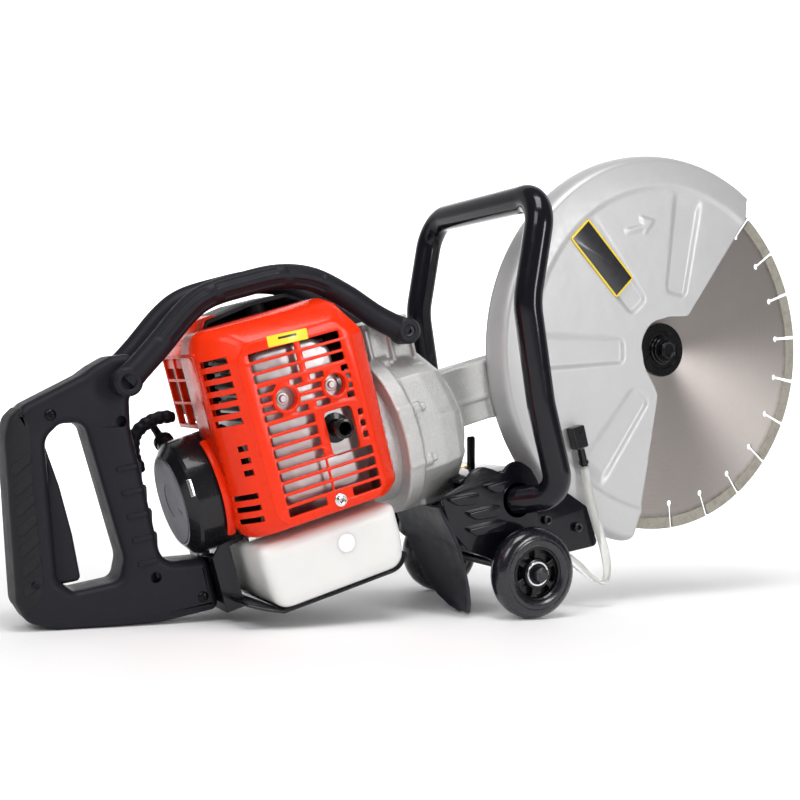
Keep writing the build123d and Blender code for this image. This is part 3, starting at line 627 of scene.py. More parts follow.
def smooth_line(points, step=2.0):
    """A Catmull-Rom curve through points."""
    pts = [Vector(p) for p in points]
    pts = [2 * pts[0] - pts[1]] + pts + [2 * pts[-1] - pts[-2]]
    out = []
    for p0, p1, p2, p3 in zip(pts, pts[1:], pts[2:], pts[3:]):
        n = max(2, int((p2 - p1).length / step))
        for k in range(n):
            t = k / n
            out.append(0.5 * (2 * p1 + (p2 - p0) * t + (2 * p0 - 5 * p1 + 4 * p2 - p3) * t * t
                              + (3 * p1 - p0 - 3 * p2 + p3) * t ** 3))
    out.append(pts[-2])
    return out


def swept(name, line, section, steps=40, side=(0, 1, 0), smooth=40):
    """A capped skin along a centre line; section(t, angle) gives sideways and upward offsets.

    Angle 0 points to side, and t runs from 0 to 1 along the line.
    """
    bm = bmesh.new()
    rings = []
    travelled = [0.0]
    for a, b in zip(line, line[1:]):
        travelled.append(travelled[-1] + (b - a).length)
    lateral = Vector(side)
    for i, p in enumerate(line):
        ahead = (line[min(i + 1, len(line) - 1)] - line[max(i - 1, 0)]).normalized()
        lateral = (lateral - ahead * lateral.dot(ahead)).normalized()
        up = lateral.cross(ahead)
        ring = []
        for k in range(steps):
            u, v = section(travelled[i] / travelled[-1], 2 * pi * k / steps)
            ring.append(bm.verts.new(p + lateral * u + up * v))
        rings.append(ring)
    bridge(bm, rings)
    bm.faces.new(rings[0])
    bm.faces.new(rings[-1])
    return from_bmesh(name, bm, smooth)


def round_section(r):
    return lambda t, angle: (r * cos(angle), r * sin(angle))


def joined(name, *objs):
    """Merges objects into one piece."""
    bm = bmesh.new()
    for o in objs:
        bm.from_mesh(o.data)
        bpy.data.objects.remove(o)
    mesh = bpy.data.meshes.new(name)
    bm.to_mesh(mesh)
    bm.free()
    return linked(name, mesh)


def label_outline(centre, half, turn, corner):
    """A rounded rectangle about its centre, turned in the x-z plane."""
    return [(centre[0] + u * cos(turn) - v * sin(turn), centre[1] + u * sin(turn) + v * cos(turn))
            for u, v in rect(-half[0], half[0], -half[1], half[1], corner)]


def set_across(obj, x):
    """Stands a plate that was drawn with y in place of x on the plane of constant x."""
    obj.data.transform(Matrix(((0, 1, 0, x), (1, 0, 0, 0), (0, 0, 1, 0), (0, 0, 0, 1))))
    return obj


def smoothstep(t):
    t = np.clip(t, 0, 1)
    return t * t * (3 - 2 * t)


# ---- blade, its flanges and bolt ----
def blade_hub():
    """Two clamping flanges with turned steps, a washer and a chamfered hexagon bolt."""
    outer = turned("outer", along_y(0, 0),
                   [(-1.15, 0), (-1.15, 25.5), (-1.8, 26), (-4.4, 26), (-5.0, 25.4), (-5.0, 19),
                    (-4.2, 18.2), (-4.2, 14.5), (-6.4, 14), (-7.2, 13.2), (-7.2, 0)])
    inner = turned("inner", along_y(0, 0), [(1.15, 0), (1.15, 26), (5.0, 26), (5.0, 0)])
    flanges = joined("hub_flanges", inner, outer)
    keep(flanges, "blade", "black_steel", hub_black, "blade_flanges")
    washer = turned("washer", along_y(0, 0),
                    [(-7.2, 0), (-7.2, 11.4), (-7.8, 12), (-9.2, 12), (-9.8, 11.4), (-9.8, 0)])
    head = plate("head", [circle(0, 0, 9.6, 6, 0.25)], -16, -9.6, 0.8, 2)
    recess = turned("recess", along_y(0, 0), [(-17, 0), (-17, 6.4), (-15.4, 5.6), (-15.4, 0)], 48)
    cut(head, recess)
    bolt = joined("hub_bolt", washer, head)
    keep(bolt, "blade", "black_steel", hub_black, "blade_bolt")


# ---- guard ----
GUARD_R = 188.9
GUARD_FACE_Y = -16.0
GUARD_BACK_Y = 12.0
GUARD_STEP_R = 158.0
GUARD_TURN_R = 180.5
RIB_TURNS = (66, 117, 166.5, 217)


def guard_height(x, z):
    """Y of the guard's outer skin over a point of its face."""
    r = np.hypot(x, z)
    # flat field, a shallow cone outside the crease, then a tight turn into the rim
    cone = GUARD_FACE_Y + 4.2 * np.clip((r - GUARD_STEP_R) / (GUARD_TURN_R - GUARD_STEP_R), 0, 1) ** 1.25
    t = np.clip((r - GUARD_TURN_R) / (GUARD_R - GUARD_TURN_R), 0, 1)
    y = cone + (GUARD_BACK_Y - cone) * (1 - np.sqrt(np.maximum(0, 1 - t ** 2)))
    y = y + 1.3 * smoothstep((GUARD_STEP_R + 1 - r) / 6)
    for turn in RIB_TURNS:
        a = radians(turn)
        along = x * cos(a) + z * sin(a)
        across = np.abs(-x * sin(a) + z * cos(a))
        half = 14.2 + 3.6 * (along - 60) / 85
        # a blunt inner end with rounded corners; the outer end runs out before the crease
        d0, d1 = along - 52, half - across
        corner = 8 - np.hypot(np.maximum(0, 8 - d0), np.maximum(0, 8 - d1))
        inside = np.where((d0 < 8) & (d1 < 8), corner, np.minimum(d0, d1))
        run_out = smoothstep((154 - along) / 16)
        y = y + 2.3 * smoothstep(inside / 5.0) * run_out
    # pressed rotation arrow: a shaft with a half head, standing proud
    ax, az, turn = -4.0, 121.0, radians(3)
    u = (x - ax) * cos(turn) + (z - az) * sin(turn)
    v = -(x - ax) * sin(turn) + (z - az) * cos(turn) - 0.0024 * u * u
    shaft = np.minimum(3.2 - np.abs(v), np.minimum(u + 17, 8 - u))
    head = np.minimum(u - 3, (20 - u) * 0.6 - np.abs(v - 1.6))
    y = y - 1.0 * smoothstep(np.maximum(shaft, head) / 1.6)
    return y


def guard():
    """Pressed guard: a dished half disc with ribs, an arrow and a rolled rim, open towards the cut."""
    radial = np.concatenate([np.linspace(22, GUARD_STEP_R, 104),
                             np.linspace(GUARD_STEP_R + 1.5, GUARD_TURN_R, 12),
                             [GUARD_R - (GUARD_R - GUARD_TURN_R) * (1 - sin(radians(7.5 * k)))
                              for k in range(1, 13)]])
    turns = 420
    bm = bmesh.new()
    rings = []
    for r in radial:
        a = np.linspace(0, 2 * pi, turns, endpoint=False)
        x, z = r * np.cos(a), r * np.sin(a)
        y = guard_height(x, z)
        rings.append([bm.verts.new(p) for p in zip(x, y, z)])
    bridge(bm, rings)
    shell = modified(from_bmesh("guard", bm, 180), "SOLIDIFY", thickness=2.0, offset=0)
    if shell.data.polygons[0].normal.y > 0.5:
        shell.data.flip_normals()
    opening = rounded([(31, 26), (125, 100), (135, 118), (152, 138), (230, 60), (230, -230), (-96, -230),
                       (-88, -168), (-71.5, -138), (-24.6, -39), (-26, -30), (-33, -8), (-31, 16),
                       (-15, 31), (8, 31)], [7, 12, 6, 0, 0, 0, 0, 6, 10, 7, 10, 22, 22, 22, 14], 5)
    tool = plate("opening", [opening], -60, 60, 0.001, 0)
    cut(shell, tool)
    keep(shell, "chassis", "silver_paint", silver, "guard_shell")


def guard_label():
    """Name plate on the guard, left blank: a dark field in a yellow frame."""
    centre, half, turn = (-54.9, 102.3), (37.4, 14.0), atan2(66.1, -37.2)
    outline = label_outline(centre, half, turn, 3)
    field = plate("guard_label", [outline], GUARD_FACE_Y - 0.9, GUARD_FACE_Y + 1.7, 0.25, 1)
    s = label_plate("label_dark", (0.016, 0.016, 0.019), (0.85, 0.62, 0.02), centre, half, turn, 1.8)
    keep(field, "chassis", "black_plastic", s.finish())


# ---- front loop handle ----
LOOP_NEAR_Y, LOOP_FAR_Y = -70.0, 130.0
LOOP_R = 12.4


def loop_handle():
    """Bent tube in front of the engine: two legs joined over the top, their ends turned in below."""
    leg = [(-190, -84), (-190, 0), (-181, 88), (-141, 173)]
    points = [(-214, LOOP_NEAR_Y + 40, -84)] + [(x, LOOP_NEAR_Y, z) for x, z in leg]
    points += [(x, LOOP_FAR_Y, z) for x, z in reversed(leg)] + [(-214, LOOP_FAR_Y - 40, -84)]
    line = centre_line(points, [0, 26, 60, 70, 30, 30, 70, 60, 26, 0])
    bar = swept("loop_bar", line, round_section(LOOP_R), 48, side=(1, 0, 0))
    keep(bar, "chassis", "black_gloss_steel", gloss, "loop_handle")
    profile = [(-LOOP_R, 0), (-12.3, 1.2), (-11.6, 2.0), (-10.6, 2.0), (-10.6, 0)]
    rivet = turned("loop_rivet", along_y(-184, 60, LOOP_NEAR_Y), profile, 24)
    keep(rivet, "chassis", "black_gloss_steel", gloss)


# ---- curved top bars ----
BAR_POINTS = [(-517, 107), (-486, 127), (-456, 148), (-434, 157), (-402, 159), (-370, 158), (-342, 149),
              (-316, 129), (-292, 105), (-268, 86)]
BAR_R = 10.5
NEAR_BAR_Y, FAR_BAR_Y = -3.0, 63.0


def top_bar(name, y, outward):
    """Moulded bar of oval section; two long tracks sunk in its outer side are broken by bridges."""
    line = smooth_line([(x, y, z) for x, z in BAR_POINTS], 1.2)

    def section(t, angle):
        groove = 0.0
        for around, bridges in ((0.5, (0.13, 0.345, 0.56, 0.70)), (-0.5, (0.15, 0.36, 0.58, 0.72))):
            gap = min(abs(t - b) for b in bridges)
            run = smoothstep(np.array([gap / 0.012 - 0.6]))[0] if bridges[0] < t < bridges[-1] else 0.0
            off = abs(angle_from(angle, around))
            groove = max(groove, float(run * smoothstep(np.array([(0.30 - off) / 0.09]))[0]))
        r = BAR_R - 1.2 * groove
        end = min(t, 1 - t)
        flat = float(smoothstep(np.array([1 - end / 0.05]))[0])
        wide = r * (1 + 0.10 * flat)
        return r * cos(angle) * (1 - 0.1 * flat), wide * sin(angle)
    return swept(name, line, section, 72, side=(0, outward, 0), smooth=50)


def angle_from(a, b):
    return (a - b + pi) % (2 * pi) - pi


def bars():
    """The two top bars, each with a screw boss at both ends."""
    shells = []
    for name, y, outward in (("bar_near", NEAR_BAR_Y, -1), ("bar_far", FAR_BAR_Y, 1)):
        shells.append(top_bar(name, y, outward))
        for (x, z), hole in ((BAR_POINTS[0], 6.0), (BAR_POINTS[-1], 5.0)):
            low, high = y - BAR_R + 0.3, y + BAR_R - 0.3
            rear = [(low + 6, 0), (low + 6, hole), (low + 0.6, hole), (low, hole + 0.8), (low, 9.4),
                    (low + 2.2, 11.5)]
            boss = rear + [(low + high - h, r) for h, r in reversed(rear)]
            shells.append(turned("boss", along_y(x, z), boss, 64))
    keep(joined("curved_bars", *shells), "chassis", "black_plastic", plastic, "top_bars")


# ---- rear D handle ----
HANDLE_NEAR_Y, HANDLE_FAR_Y = 8.0, 52.0
TYRE_R, TYRE_W = 40.0, 24.0


def floor_z(x):
    """Height in the saw's axes, at x, of the floor that the wheels stand on."""
    contact = WHEEL_X * sin(PITCH) + WHEEL_Z * cos(PITCH) - TYRE_R
    return (contact - x * sin(PITCH)) / cos(PITCH)


FOOT_REAR_X, FOOT_FRONT_X = -617.0, -575.0
HANDLE = [(-594, 110), (-546, 120.5), (-535, 125), (-520, 129), (-504, 127), (-499, 108), (-514, 92),
          (-519, 70), (-523, -43), (-486, -52), (-487, -95), (-533, -90),
          (FOOT_FRONT_X, floor_z(FOOT_FRONT_X)), (FOOT_REAR_X, floor_z(FOOT_REAR_X)), (-636, -54),
          (-640, -40), (-614, 88), (-607, 102)]
HANDLE_CORNERS = [10, 14, 10, 10, 7, 6, 10, 14, 14, 6, 6, 12, 10, 10, 12, 14, 30, 16]
OPENING = [(-586, 80), (-572, 88), (-554, 84), (-552, -30), (-560, -46), (-596, -42), (-606, -30)]
OPENING_CORNERS = [14, 10, 10, 20, 8, 8, 10]
TRIGGER_WELL = [(-601, 91), (-583, 91), (-583, -38), (-633, -38), (-626, 0)]


def halved(obj, y, keep_low, gap=0.25):
    """Cuts a solid at a plane of constant y and keeps one side, closed."""
    bm = bmesh.new()
    bm.from_mesh(obj.data)
    plane_y = y - gap if keep_low else y + gap
    made = bmesh.ops.bisect_plane(bm, geom=bm.verts[:] + bm.edges[:] + bm.faces[:], plane_co=(0, plane_y, 0),
                                  plane_no=(0, 1, 0), clear_outer=keep_low, clear_inner=not keep_low)
    rim = [e for e in made["geom_cut"] if isinstance(e, bmesh.types.BMEdge)]
    bmesh.ops.triangle_fill(bm, edges=rim, use_beauty=True)
    bmesh.ops.recalc_face_normals(bm, faces=bm.faces)
    bm.to_mesh(obj.data)
    bm.free()
    shade(obj.data, 50)
    return obj


def handle_body():
    """One soft-edged ring with its raised front post, made in full and then split into two halves."""
    outlines = [rounded(HANDLE, HANDLE_CORNERS, 8), rounded(OPENING, OPENING_CORNERS, 8)]
    return plate("handle", outlines, HANDLE_NEAR_Y, HANDLE_FAR_Y, 7.5, 5, 60)


def handle_bores(side_y):
    """Cutters for the two screw bores in one side face."""
    tools = []
    for x, z in ((-526, 77), (-532, -52)):
        bm = bmesh.new()
        add_rod(bm, (x, side_y - 8, z), (x, side_y + 8, z), 4.5, 40)
        tools.append(from_bmesh("bore", bm))
    return tools


def rear_handle():
    """Both halves of the D handle, with ribs on the front post and steps in its opening."""
    halves = (("handle_near", "rear_handle_near_half", HANDLE_NEAR_Y, 1),
              ("handle_far", "rear_handle_far_half", HANDLE_FAR_Y, -1))
    for name, node, side, inward in halves:
        half = handle_body()
        half.name = name
        cut(half, *handle_bores(side), plate("well", [TRIGGER_WELL], 19, 41, 0.01, 0))
        halved(half, MID_Y, inward > 0)
        extras = [half]
        for k in range(5):
            z = 41 - 19.5 * k
            x = -534.5 - 0.045 * (41 - z)
            rib = rounded([(x - 5.5, z - 2.2), (x + 11, z - 3.4), (x + 11, z + 0.6), (x - 5.5, z + 1.8)], 1)
            extras.append(plate("rib", [rib], *sorted((side - 1.7 * inward, side + 3 * inward)), 0.8, 2))
            step = rounded([(x + 7, z - 17.5), (x + 12.6, z - 16.5), (x + 16.0, z - 1.5), (x + 15.4, z + 1),
                            (x + 7, z + 2)], 1.2)
            extras.append(plate("step", [step], *sorted((side + 3 * inward, MID_Y - 0.3 * inward)), 0.8, 2))
        keep(joined(name, *extras), "chassis", "black_plastic", plastic, node)


def overlay():
    """Soft rear grip skin wrapped round the back of the handle, with seven slanted finger pads a side."""
    grow = 0.7
    outer = [(-596.5, 109.5), (-591.5, 92), (-603, 40), (-613, -26), (-619, -41), (-636, -48.5),
             (-641.2, -39), (-615.2, 89), (-607.8, 103)]
    outline = rounded(outer, [3, 8, 30, 12, 8, 6, 14, 30, 14], 7)
    skin = plate("overlay", [outline], HANDLE_NEAR_Y - grow, HANDLE_FAR_Y + grow, 6.4, 6, 60)
    cut(skin, plate("well", [TRIGGER_WELL], 18.8, 41.2, 0.01, 0))
    pads = []
    for k in range(7):
        z = 66 - 15.5 * k
        x = -615.5 - 0.17575 * (62 - z)
        pad = rounded([(x - 3, z - 8), (x + 14, z + 0.5), (x + 14.5, z + 8.2), (x - 2, z + 1.2)], 2.0, 4)
        for y, out in ((HANDLE_NEAR_Y - grow, -1), (HANDLE_FAR_Y + grow, 1)):
            pads.append(plate("finger_pad", [pad], *sorted((y + out * 0.9, y - out * 2.0)), 0.9, 3))
    keep(joined("overlay", skin, *pads), "chassis", "soft_grip", grip_rubber, "grip_overlay")


def trigger():
    """The long throttle lever inside the opening, hinged at its top."""
    outline = rounded([(-593, 78), (-586, 76), (-583.5, 40), (-584, 0), (-587, -37), (-612, -34),
                       (-607, -10), (-598, 40)], [4, 4, 30, 30, 4, 3, 20, 30], 6)
    lever = plate("trigger_lever", [outline], 19.6, 40.4, 3.0, 4, 60)
    bore = turned("bore", along_y(-591, 72), [(10, 0), (10, 2.1), (50, 2.1), (50, 0)], 32)
    cut(lever, bore)
    keep(lever, "trigger", "black_plastic", plastic, "throttle_trigger")


def cross_screw(x, z, y, r):
    """Pan-head screw facing the near side, with a cross recess."""
    profile = [(y - 1.9, 0.001), (y - 1.8, r * 0.5), (y - 1.1, r * 0.86), (y - 0.3, r), (y + 1.5, r),
               (y + 1.5, 0)]
    head = turned("cross", along_y(x, z), profile, 40)
    arm, half_width = r * 0.55, 0.45
    for wide, high in ((arm, half_width), (half_width, arm)):
        cut(head, box_piece("slot", x - wide, x + wide, y - 4, y - 0.7, z - high, z + high))
    return head


def socket_screw(x, z, y, inward, r, length):
    """Socket-head screw whose face is at y; inward is +1 on the near side and -1 on the far side."""
    root = y + length * inward
    head = turned("screw", along_y(x, z),
                  [(y, 0), (y, r - 0.5), (y + 0.5 * inward, r), (root, r), (root, 0)], 40)
    socket = plate("socket", [circle(x, z, r * 0.56, 6)], *sorted((y - 2 * inward, y + 3 * inward)), 0.01, 0)
    return cut(head, socket)


# ---- red engine cover ----
COVER_Y = -52.0
CYL_X = -385.0
RING_X, RING_Z = (-409.0, -365.5), 64.0            # the panel's two round screw openings
COVER_PANEL = [(-440, -24), (-431, -33), (-352, -33), (-343.5, -24), (-343.5, 101), (-354, 113), (-429, 113),
               (-440, 101)]
COVER_CORNERS = [9, 9, 9, 9, 12, 12, 10, 10]


def cover_slots():
    """Holes of the front panel: two columns of slots, two screw rings and the outlet window."""
    holes = []
    left, right = (-431.5, -391.5), (-386.5, -350.0)
    for z in (102.6, 93.8, 85.0):
        for x0, x1 in (left, (right[0], right[1] - 1.5)):
            holes.append(rect(x0, x1, z - 3.2, z + 3.2, 1.5))
    for x in RING_X:
        holes.append(circle(x, RING_Z, 9.2, 40))
    # slots above and below the rings; the rear one of each row is bevelled round its ring
    for z, bite in ((75.2, 1.2), (52.8, -2.2)):
        corner = [(-431, z - 2.4), (-418, z - 2.4), (-415, z + bite), (-415, z + 2.6), (-431, z + 2.6)]
        holes.append(rounded(corner, 1.4))
        for x0, x1 in ((-403, -392), (-385, -372.5), (-357, -350.5)):
            holes.append(rect(x0, x1, z - 2.4, z + 2.6, 1.4))
    for z in (67.8, 60.2):
        for x0, x1 in ((-431, -419.5), (-398.5, -376), (-355.5, -350)):
            holes.append(rect(x0, x1, z - 2.2, z + 2.2, 1.6))
    for k in range(8):
        z = 43.2 - 9.7 * k
        end = left[1] + 2.5 if k < 7 else left[1] - 5
        holes.append(rect(left[0] + 1.0, end, z - 3.6, z + 3.6, 1.6))
        if k > 3:
            start = right[0] - 1 if k < 7 else right[0] + 14
            holes.append(rect(start, right[1] + 3.5, z - 3.6, z + 3.6, 1.6))
    holes.append(rect(-381.5, -356.5, 8.5, 44.5, 4))
    for z in (37, 27.5, 18):
        holes.append(rect(-351.5, -347.0, z - 2.6, z + 2.6, 1.4))
    return holes


def lofted(name, rings):
    """An open skin through rings of 3-D points with equal counts."""
    bm = bmesh.new()
    bridge(bm, [[bm.verts.new(p) for p in ring] for ring in rings])
    return from_bmesh(name, bm, 35)


def sheet(obj, thickness):
    """Gives an open skin an even thickness about its middle."""
    return modified(obj, "SOLIDIFY", thickness=thickness, offset=0, use_even_offset=True)


def grown_panel(step_x, step_z):
    """The panel's outline with every point moved away from the middle."""
    return [(x - step_x if x < CYL_X else x + step_x, z - step_z if z < 40 else z + step_z)
            for x, z in COVER_PANEL]


def cover_skin():
    """The moulded shell behind the panel, with its rear slots and toothed front edge."""
    shoulder = [(-453, -27), (-446, -37), (-343, -37), (-331, -28), (-329, 102), (-345, 122), (-440, 123),
                (-452, 106)]
    outer = [(-464, -26), (-456, -39), (-333, -39), (-323, -30), (-322, 94), (-342, 129), (-454, 129),
             (-463, 110)]
    back = [(-465, -26), (-457, -39.8), (-333, -39.8), (-322.5, -30), (-321.5, 92), (-344, 133), (-458, 130),
            (-465, 112)]
    depths = ((COVER_PANEL, 0.2), (grown_panel(2.2, 2), 2.2), (shoulder, 8.5), (outer, 22), (back, 34),
              (back, 63))
    skin = lofted("cover_skin", [[(x, COVER_Y + depth, z) for x, z in rounded(points, COVER_CORNERS, 6)]
                                 for points, depth in depths])
    sheet(skin, 2.0)
    tools = [turned("drum_room", along_x(-470, MID_Y, 0), [(-60, 0), (-60, 51), (45, 51), (45, 0)], 96)]
    # long slots on the upper rear slope, square ones below them and long ones at the bottom
    for count, top, pitch, x0, x1, y1, half in ((6, 105.5, 9.7, -470, -447, -27, 2.6),
                                                (3, 35, 10, -455, -448.5, -20, 2.4),
                                                (3, -4, 9.6, -470, -449.5, -27, 2.3)):
        for z in (top - pitch * k for k in range(count)):
            tools.append(box_piece("slot", x0, x1, -70, y1, z - half, z + half))
    # toothed front edge, plain beside the outlet
    for z in (-30 + 9.4 * k for k in range(13)):
        if not 30 < z < 50:
            gap = [(-324.5, z - 2.2), (-310, z - 4.4), (-310, z + 4.4), (-324.5, z + 2.2)]
            tools.append(plate("gap", [gap], -45, 14, 0.01, 0))
    return cut(skin, *tools)


def cover_grid():
    """Rear wall: three by three openings, ribs behind their bars and a sunk back plate."""
    pitch_y, pitch_z = 27, 19.6
    wall = [rounded([(-24, 53), (63.5, 53), (63.5, 115.5), (-24, 115.5)], [2, 3, 5, 2])]
    for y in (-17 + pitch_y * j for j in range(3)):
        wall += [rect(y, y + 23, 56.5 + pitch_z * k, 73.5 + pitch_z * k, 1.2) for k in range(3)]
    pieces = [set_across(plate("grid", wall, 0, 1.8, 0.4, 2), -465.6)]
    for y in (-18.5 + pitch_y * j for j in range(4)):
        pieces.append(box_piece("rib", -464, -459.6, y - 0.8, y + 0.8, 54, 115))
    for z in (55 + pitch_z * k for k in range(4)):
        pieces.append(box_piece("rib", -464, -459.6, -20, 63, z - 0.8, z + 0.8))
    pieces.append(set_across(plate("sunk", [rect(-22, 13, 54, 115, 2)], 0, 1.2, 0.2, 1), -459.6))
    return pieces


def engine_cover():
    """The red cover: panel and skin, screw rings, fins behind the slots, drum lip, rear grid and slope."""
    panel = rounded(grown_panel(1.2, 1.2), COVER_CORNERS, 6)
    pieces = [plate("cover_face", [panel] + cover_slots(), COVER_Y - 0.6, COVER_Y + 2.4, 0.7, 2),
              cover_skin()]
    rim = [(-1.2, 9.4), (-1.8, 10.0), (-1.4, 11.8), (2, 12.2), (7, 11), (7, 9)]
    for x in RING_X:
        pieces.append(turned("ring", along_y(x, RING_Z, COVER_Y), rim, 48))
    fins = [(x0, x1, z) for z in (98.2, 89.4) for x0, x1 in ((-432, -391), (-387, -351))]
    fins += [(-431, -388.5, 38.4 - 9.7 * k) for k in range(8)]
    for x0, x1, z in fins:
        pieces.append(plate("fin", [rect(x0, x1, z - 0.9, z + 0.9, 0.6)], COVER_Y + 1, COVER_Y + 6, 0.3, 1))
    # lip that follows the starter drum
    angles = [radians(a) for a in range(-40, 58, 3)]
    arc = [Vector((-467.5, MID_Y - 52.3 * cos(a), 52.3 * sin(a))) for a in angles]
    pieces.append(swept("lip", arc, lambda t, a: (3.6 * cos(a), 1.7 * sin(a)), 20, side=(1, 0, 0)))
    pieces += cover_grid()
    # stepped slope that carries the cover's colour over the top of the rear wall
    slope = [(-464.5, 104), (-463.8, 113), (-459.5, 117), (-455, 121), (-452, 126), (-447, 129),
             (-441, 138.6), (-428, 140.6), (-428, 139.2), (-438, 137.4), (-456, 108.6), (-458, 104)]
    pieces.append(plate("slope", [rounded(slope, 0.8, 2)], 8, 64, 0.5, 2))
    keep(joined("engine_cover_red", *pieces), "chassis", "red_plastic", red, "engine_cover")


def cover_sticker():
    """Yellow sticker, left blank but for one plain bar."""
    centre, half, turn = (-395.8, 110.6), (17.4, 4.4), radians(-2.5)
    outline = label_outline(centre, half, turn, 1)
    sticker = plate("cover_sticker", [outline], COVER_Y - 1.0, COVER_Y - 0.4, 0.12, 1)
    yellow = (0.92, 0.74, 0.02)
    s = label_plate("label_yellow", yellow, yellow, centre, half, turn, 0.3)
    high = s.maths("LESS_THAN", s.maths("ABSOLUTE", s.maths("SUBTRACT", s.across, 1.2)), 0.9)
    wide = s.maths("LESS_THAN", s.maths("ABSOLUTE", s.along), 8.0)
    s.tint(s.maths("MULTIPLY", high, wide), (0.03, 0.03, 0.02))
    keep(sticker, "chassis", "red_plastic", s.finish())


# ---- muffler and outlet ----
def muffler():
    """Pressed can behind the panel, its two studs, a near-black plate of painted shade behind the upper right
    slots, and the outlet pipe closed inside by a near-black disc of painted shade.
    """
    box = rounded([(-428, -21), (-358, -21), (-358, 94), (-372, 105), (-428, 105)], 9)
    can = plate("can", [box], -43.4, -15, 4, 4)
    bm = bmesh.new()
    stud = [(-46, 0), (-46, 2.6), (-45.5, 3.1), (-44.4, 3.1), (-44.2, 5.2), (-43, 5.2), (-43, 0)]
    for x in RING_X:
        add_turned(bm, along_y(x, RING_Z), stud, 32)
    add_box(bm, -405, -365, -15, -8, 60, 84)
    keep(joined("muffler_can", can, from_bmesh("fittings", bm)), "chassis", "bright_steel", can_steel,
         "muffler")
    # near-black plate that paints the shade inside the cover behind its upper right slots
    slot_shade_outline = [rounded([(-357, 72), (-331, 72), (-331, 104), (-345, 119), (-357, 119)], 3)]
    keep(plate("slot_shade_plate", slot_shade_outline, -36, -34.5, 0.4, 2), "chassis", "black_steel", shade_black)
    wall = [(-64, 5.4), (-64.3, 5.8), (-64, 7.6), (-63.4, 8), (-60, 8), (-59.6, 7.5), (-46, 7.5), (-45, 12),
            (-43.4, 12.5), (-43.4, 5.4)]
    outlet = along_y(-371, 29)
    keep(turned("outlet_pipe", outlet, wall, 48), "chassis", "black_steel", hub_black)
    # near-black disc inside the outlet pipe that paints the shade of the pipe's depth
    bottom = [(-47, 0), (-47, 5.5), (-46, 5.5), (-46, 0)]
    keep(turned("outlet_shade_disc", outlet, bottom, 32), "chassis", "black_steel", shade_black)


# ---- recoil starter ----
ROPE_LEAN = radians(30)            # how far above level the rope leaves the drum
ROPE_START = Vector((-485, MID_Y - 28 * sin(ROPE_LEAN), 28 * cos(ROPE_LEAN)))
ROPE_WAY = Vector((0, cos(ROPE_LEAN), sin(ROPE_LEAN)))


def on_rope(distance):
    """Point of the rope's straight run, distance mm from where it leaves the reel."""
    return ROPE_START + ROPE_WAY * distance


def starter():
    """Drum with its rope boss and lug, the grey disc on its rear face, a bright steel strip of painted
    highlight on the drum's chamfer, and a clamp.
    """
    axis = along_x(0)
    wall = [(-497, 0), (-497, 36.5), (-498, 37.1), (-498, 38.6), (-492, 46.8), (-489.5, 48.2), (-446, 49.6),
            (-440, 49.6), (-440, 46), (-450, 45), (-450, 0)]
    drum = turned("drum", axis, wall, 128, 24)
    bm = bmesh.new()
    add_rod(bm, on_rope(30), on_rope(44), 7.5, 40)
    add_rod(bm, on_rope(42), on_rope(45.5), 8.6, 40)
    boss = from_bmesh("boss", bm)
    corners = [(MID_Y - 46, 8), (MID_Y - 56, 16), (MID_Y - 56, 26), (MID_Y - 40, 30)]
    lug = set_across(plate("lug", [rounded(corners, 4)], 0, 8, 1.2, 3), -452)
    keep(joined("starter_drum", drum, boss, lug), "chassis", "black_plastic", gloss_plastic,
         "starter_housing")
    face = [(-496.5, 0), (-496.5, 36.3), (-498.2, 36.3), (-498.6, 35.8), (-498.6, 14), (-498.2, 13.4),
            (-498.2, 0)]
    disc = turned("starter_disc", axis, face, 96)
    hole = [(-505, 0), (-505, 1.6), (-490, 1.6), (-490, 0)]
    cut(disc, turned("hole", along_x(0, MID_Y - 24, -8), hole, 24))
    keep(disc, "chassis", "black_plastic", disc_grey)
    # bright steel strip on the drum's chamfer that paints a highlight
    corners = [(MID_Y - 47.2, 6), (MID_Y - 46.1, 6), (MID_Y - 43.6, 20), (MID_Y - 44.8, 20)]
    highlight_strip = set_across(plate("starter_painted_highlight", [rounded(corners, 0.5)], 0, 4, 0.3, 1), -494)
    keep(highlight_strip, "chassis", "bright_steel", bright)
    # clamp and screw at the drum's foot
    bm = bmesh.new()
    add_box(bm, -458, -444, MID_Y - 50, MID_Y - 36, -43, -39)
    add_rod(bm, (-451, MID_Y - 54, -37), (-451, MID_Y - 44, -37), 4.2, 32)
    add_rod(bm, (-451, MID_Y - 56, -37), (-451, MID_Y - 50, -37), 2.4, 6)
    keep(bevelled(from_bmesh("starter_clip", bm), 0.5, 2), "chassis", "bright_steel", bright)


def pull_grip():
    """Starter grip with finger ridges on a sleeve, and the cord that stretches behind it."""
    y = MID_Y + 30
    line = smooth_line([(-469, y, 63), (-480, y, 66), (-494, y, 64.5), (-506, y, 57), (-511, y, 42),
                        (-509, y, 26)], 0.8)

    def grip_section(t, angle):
        ridge = 0.65 * (0.5 + 0.5 * cos(2 * pi * 11 * t))
        r = (5.2 + ridge) * (0.55 + 0.45 * sqrt(min(1, min(t, 1 - t) / 0.06)))
        return 1.15 * r * cos(angle), r * sin(angle)

    def cord_section(t, angle):
        r = 1.8 + 0.12 * cos(3 * angle + 60 * t)
        return r * cos(angle), r * sin(angle)
    grip = swept("grip", line, grip_section, 28, smooth=60)
    bm = bmesh.new()
    add_rod(bm, on_rope(47), on_rope(58), 4.4, 28, 3.4)
    add_rod(bm, on_rope(56), (-490, y, 64), 3.2, 24)
    piece = joined("pull_grip", grip, from_bmesh("sleeve", bm))
    keep(piece, "starter_grip", "black_plastic", plastic, "pull_handle")
    cord = swept("starter_cord", [on_rope(12 + k) for k in range(37)], cord_section, 16)
    cord.data.transform(SAW)
    cord.data.materials.append(rope_fibre)
    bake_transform(cord)


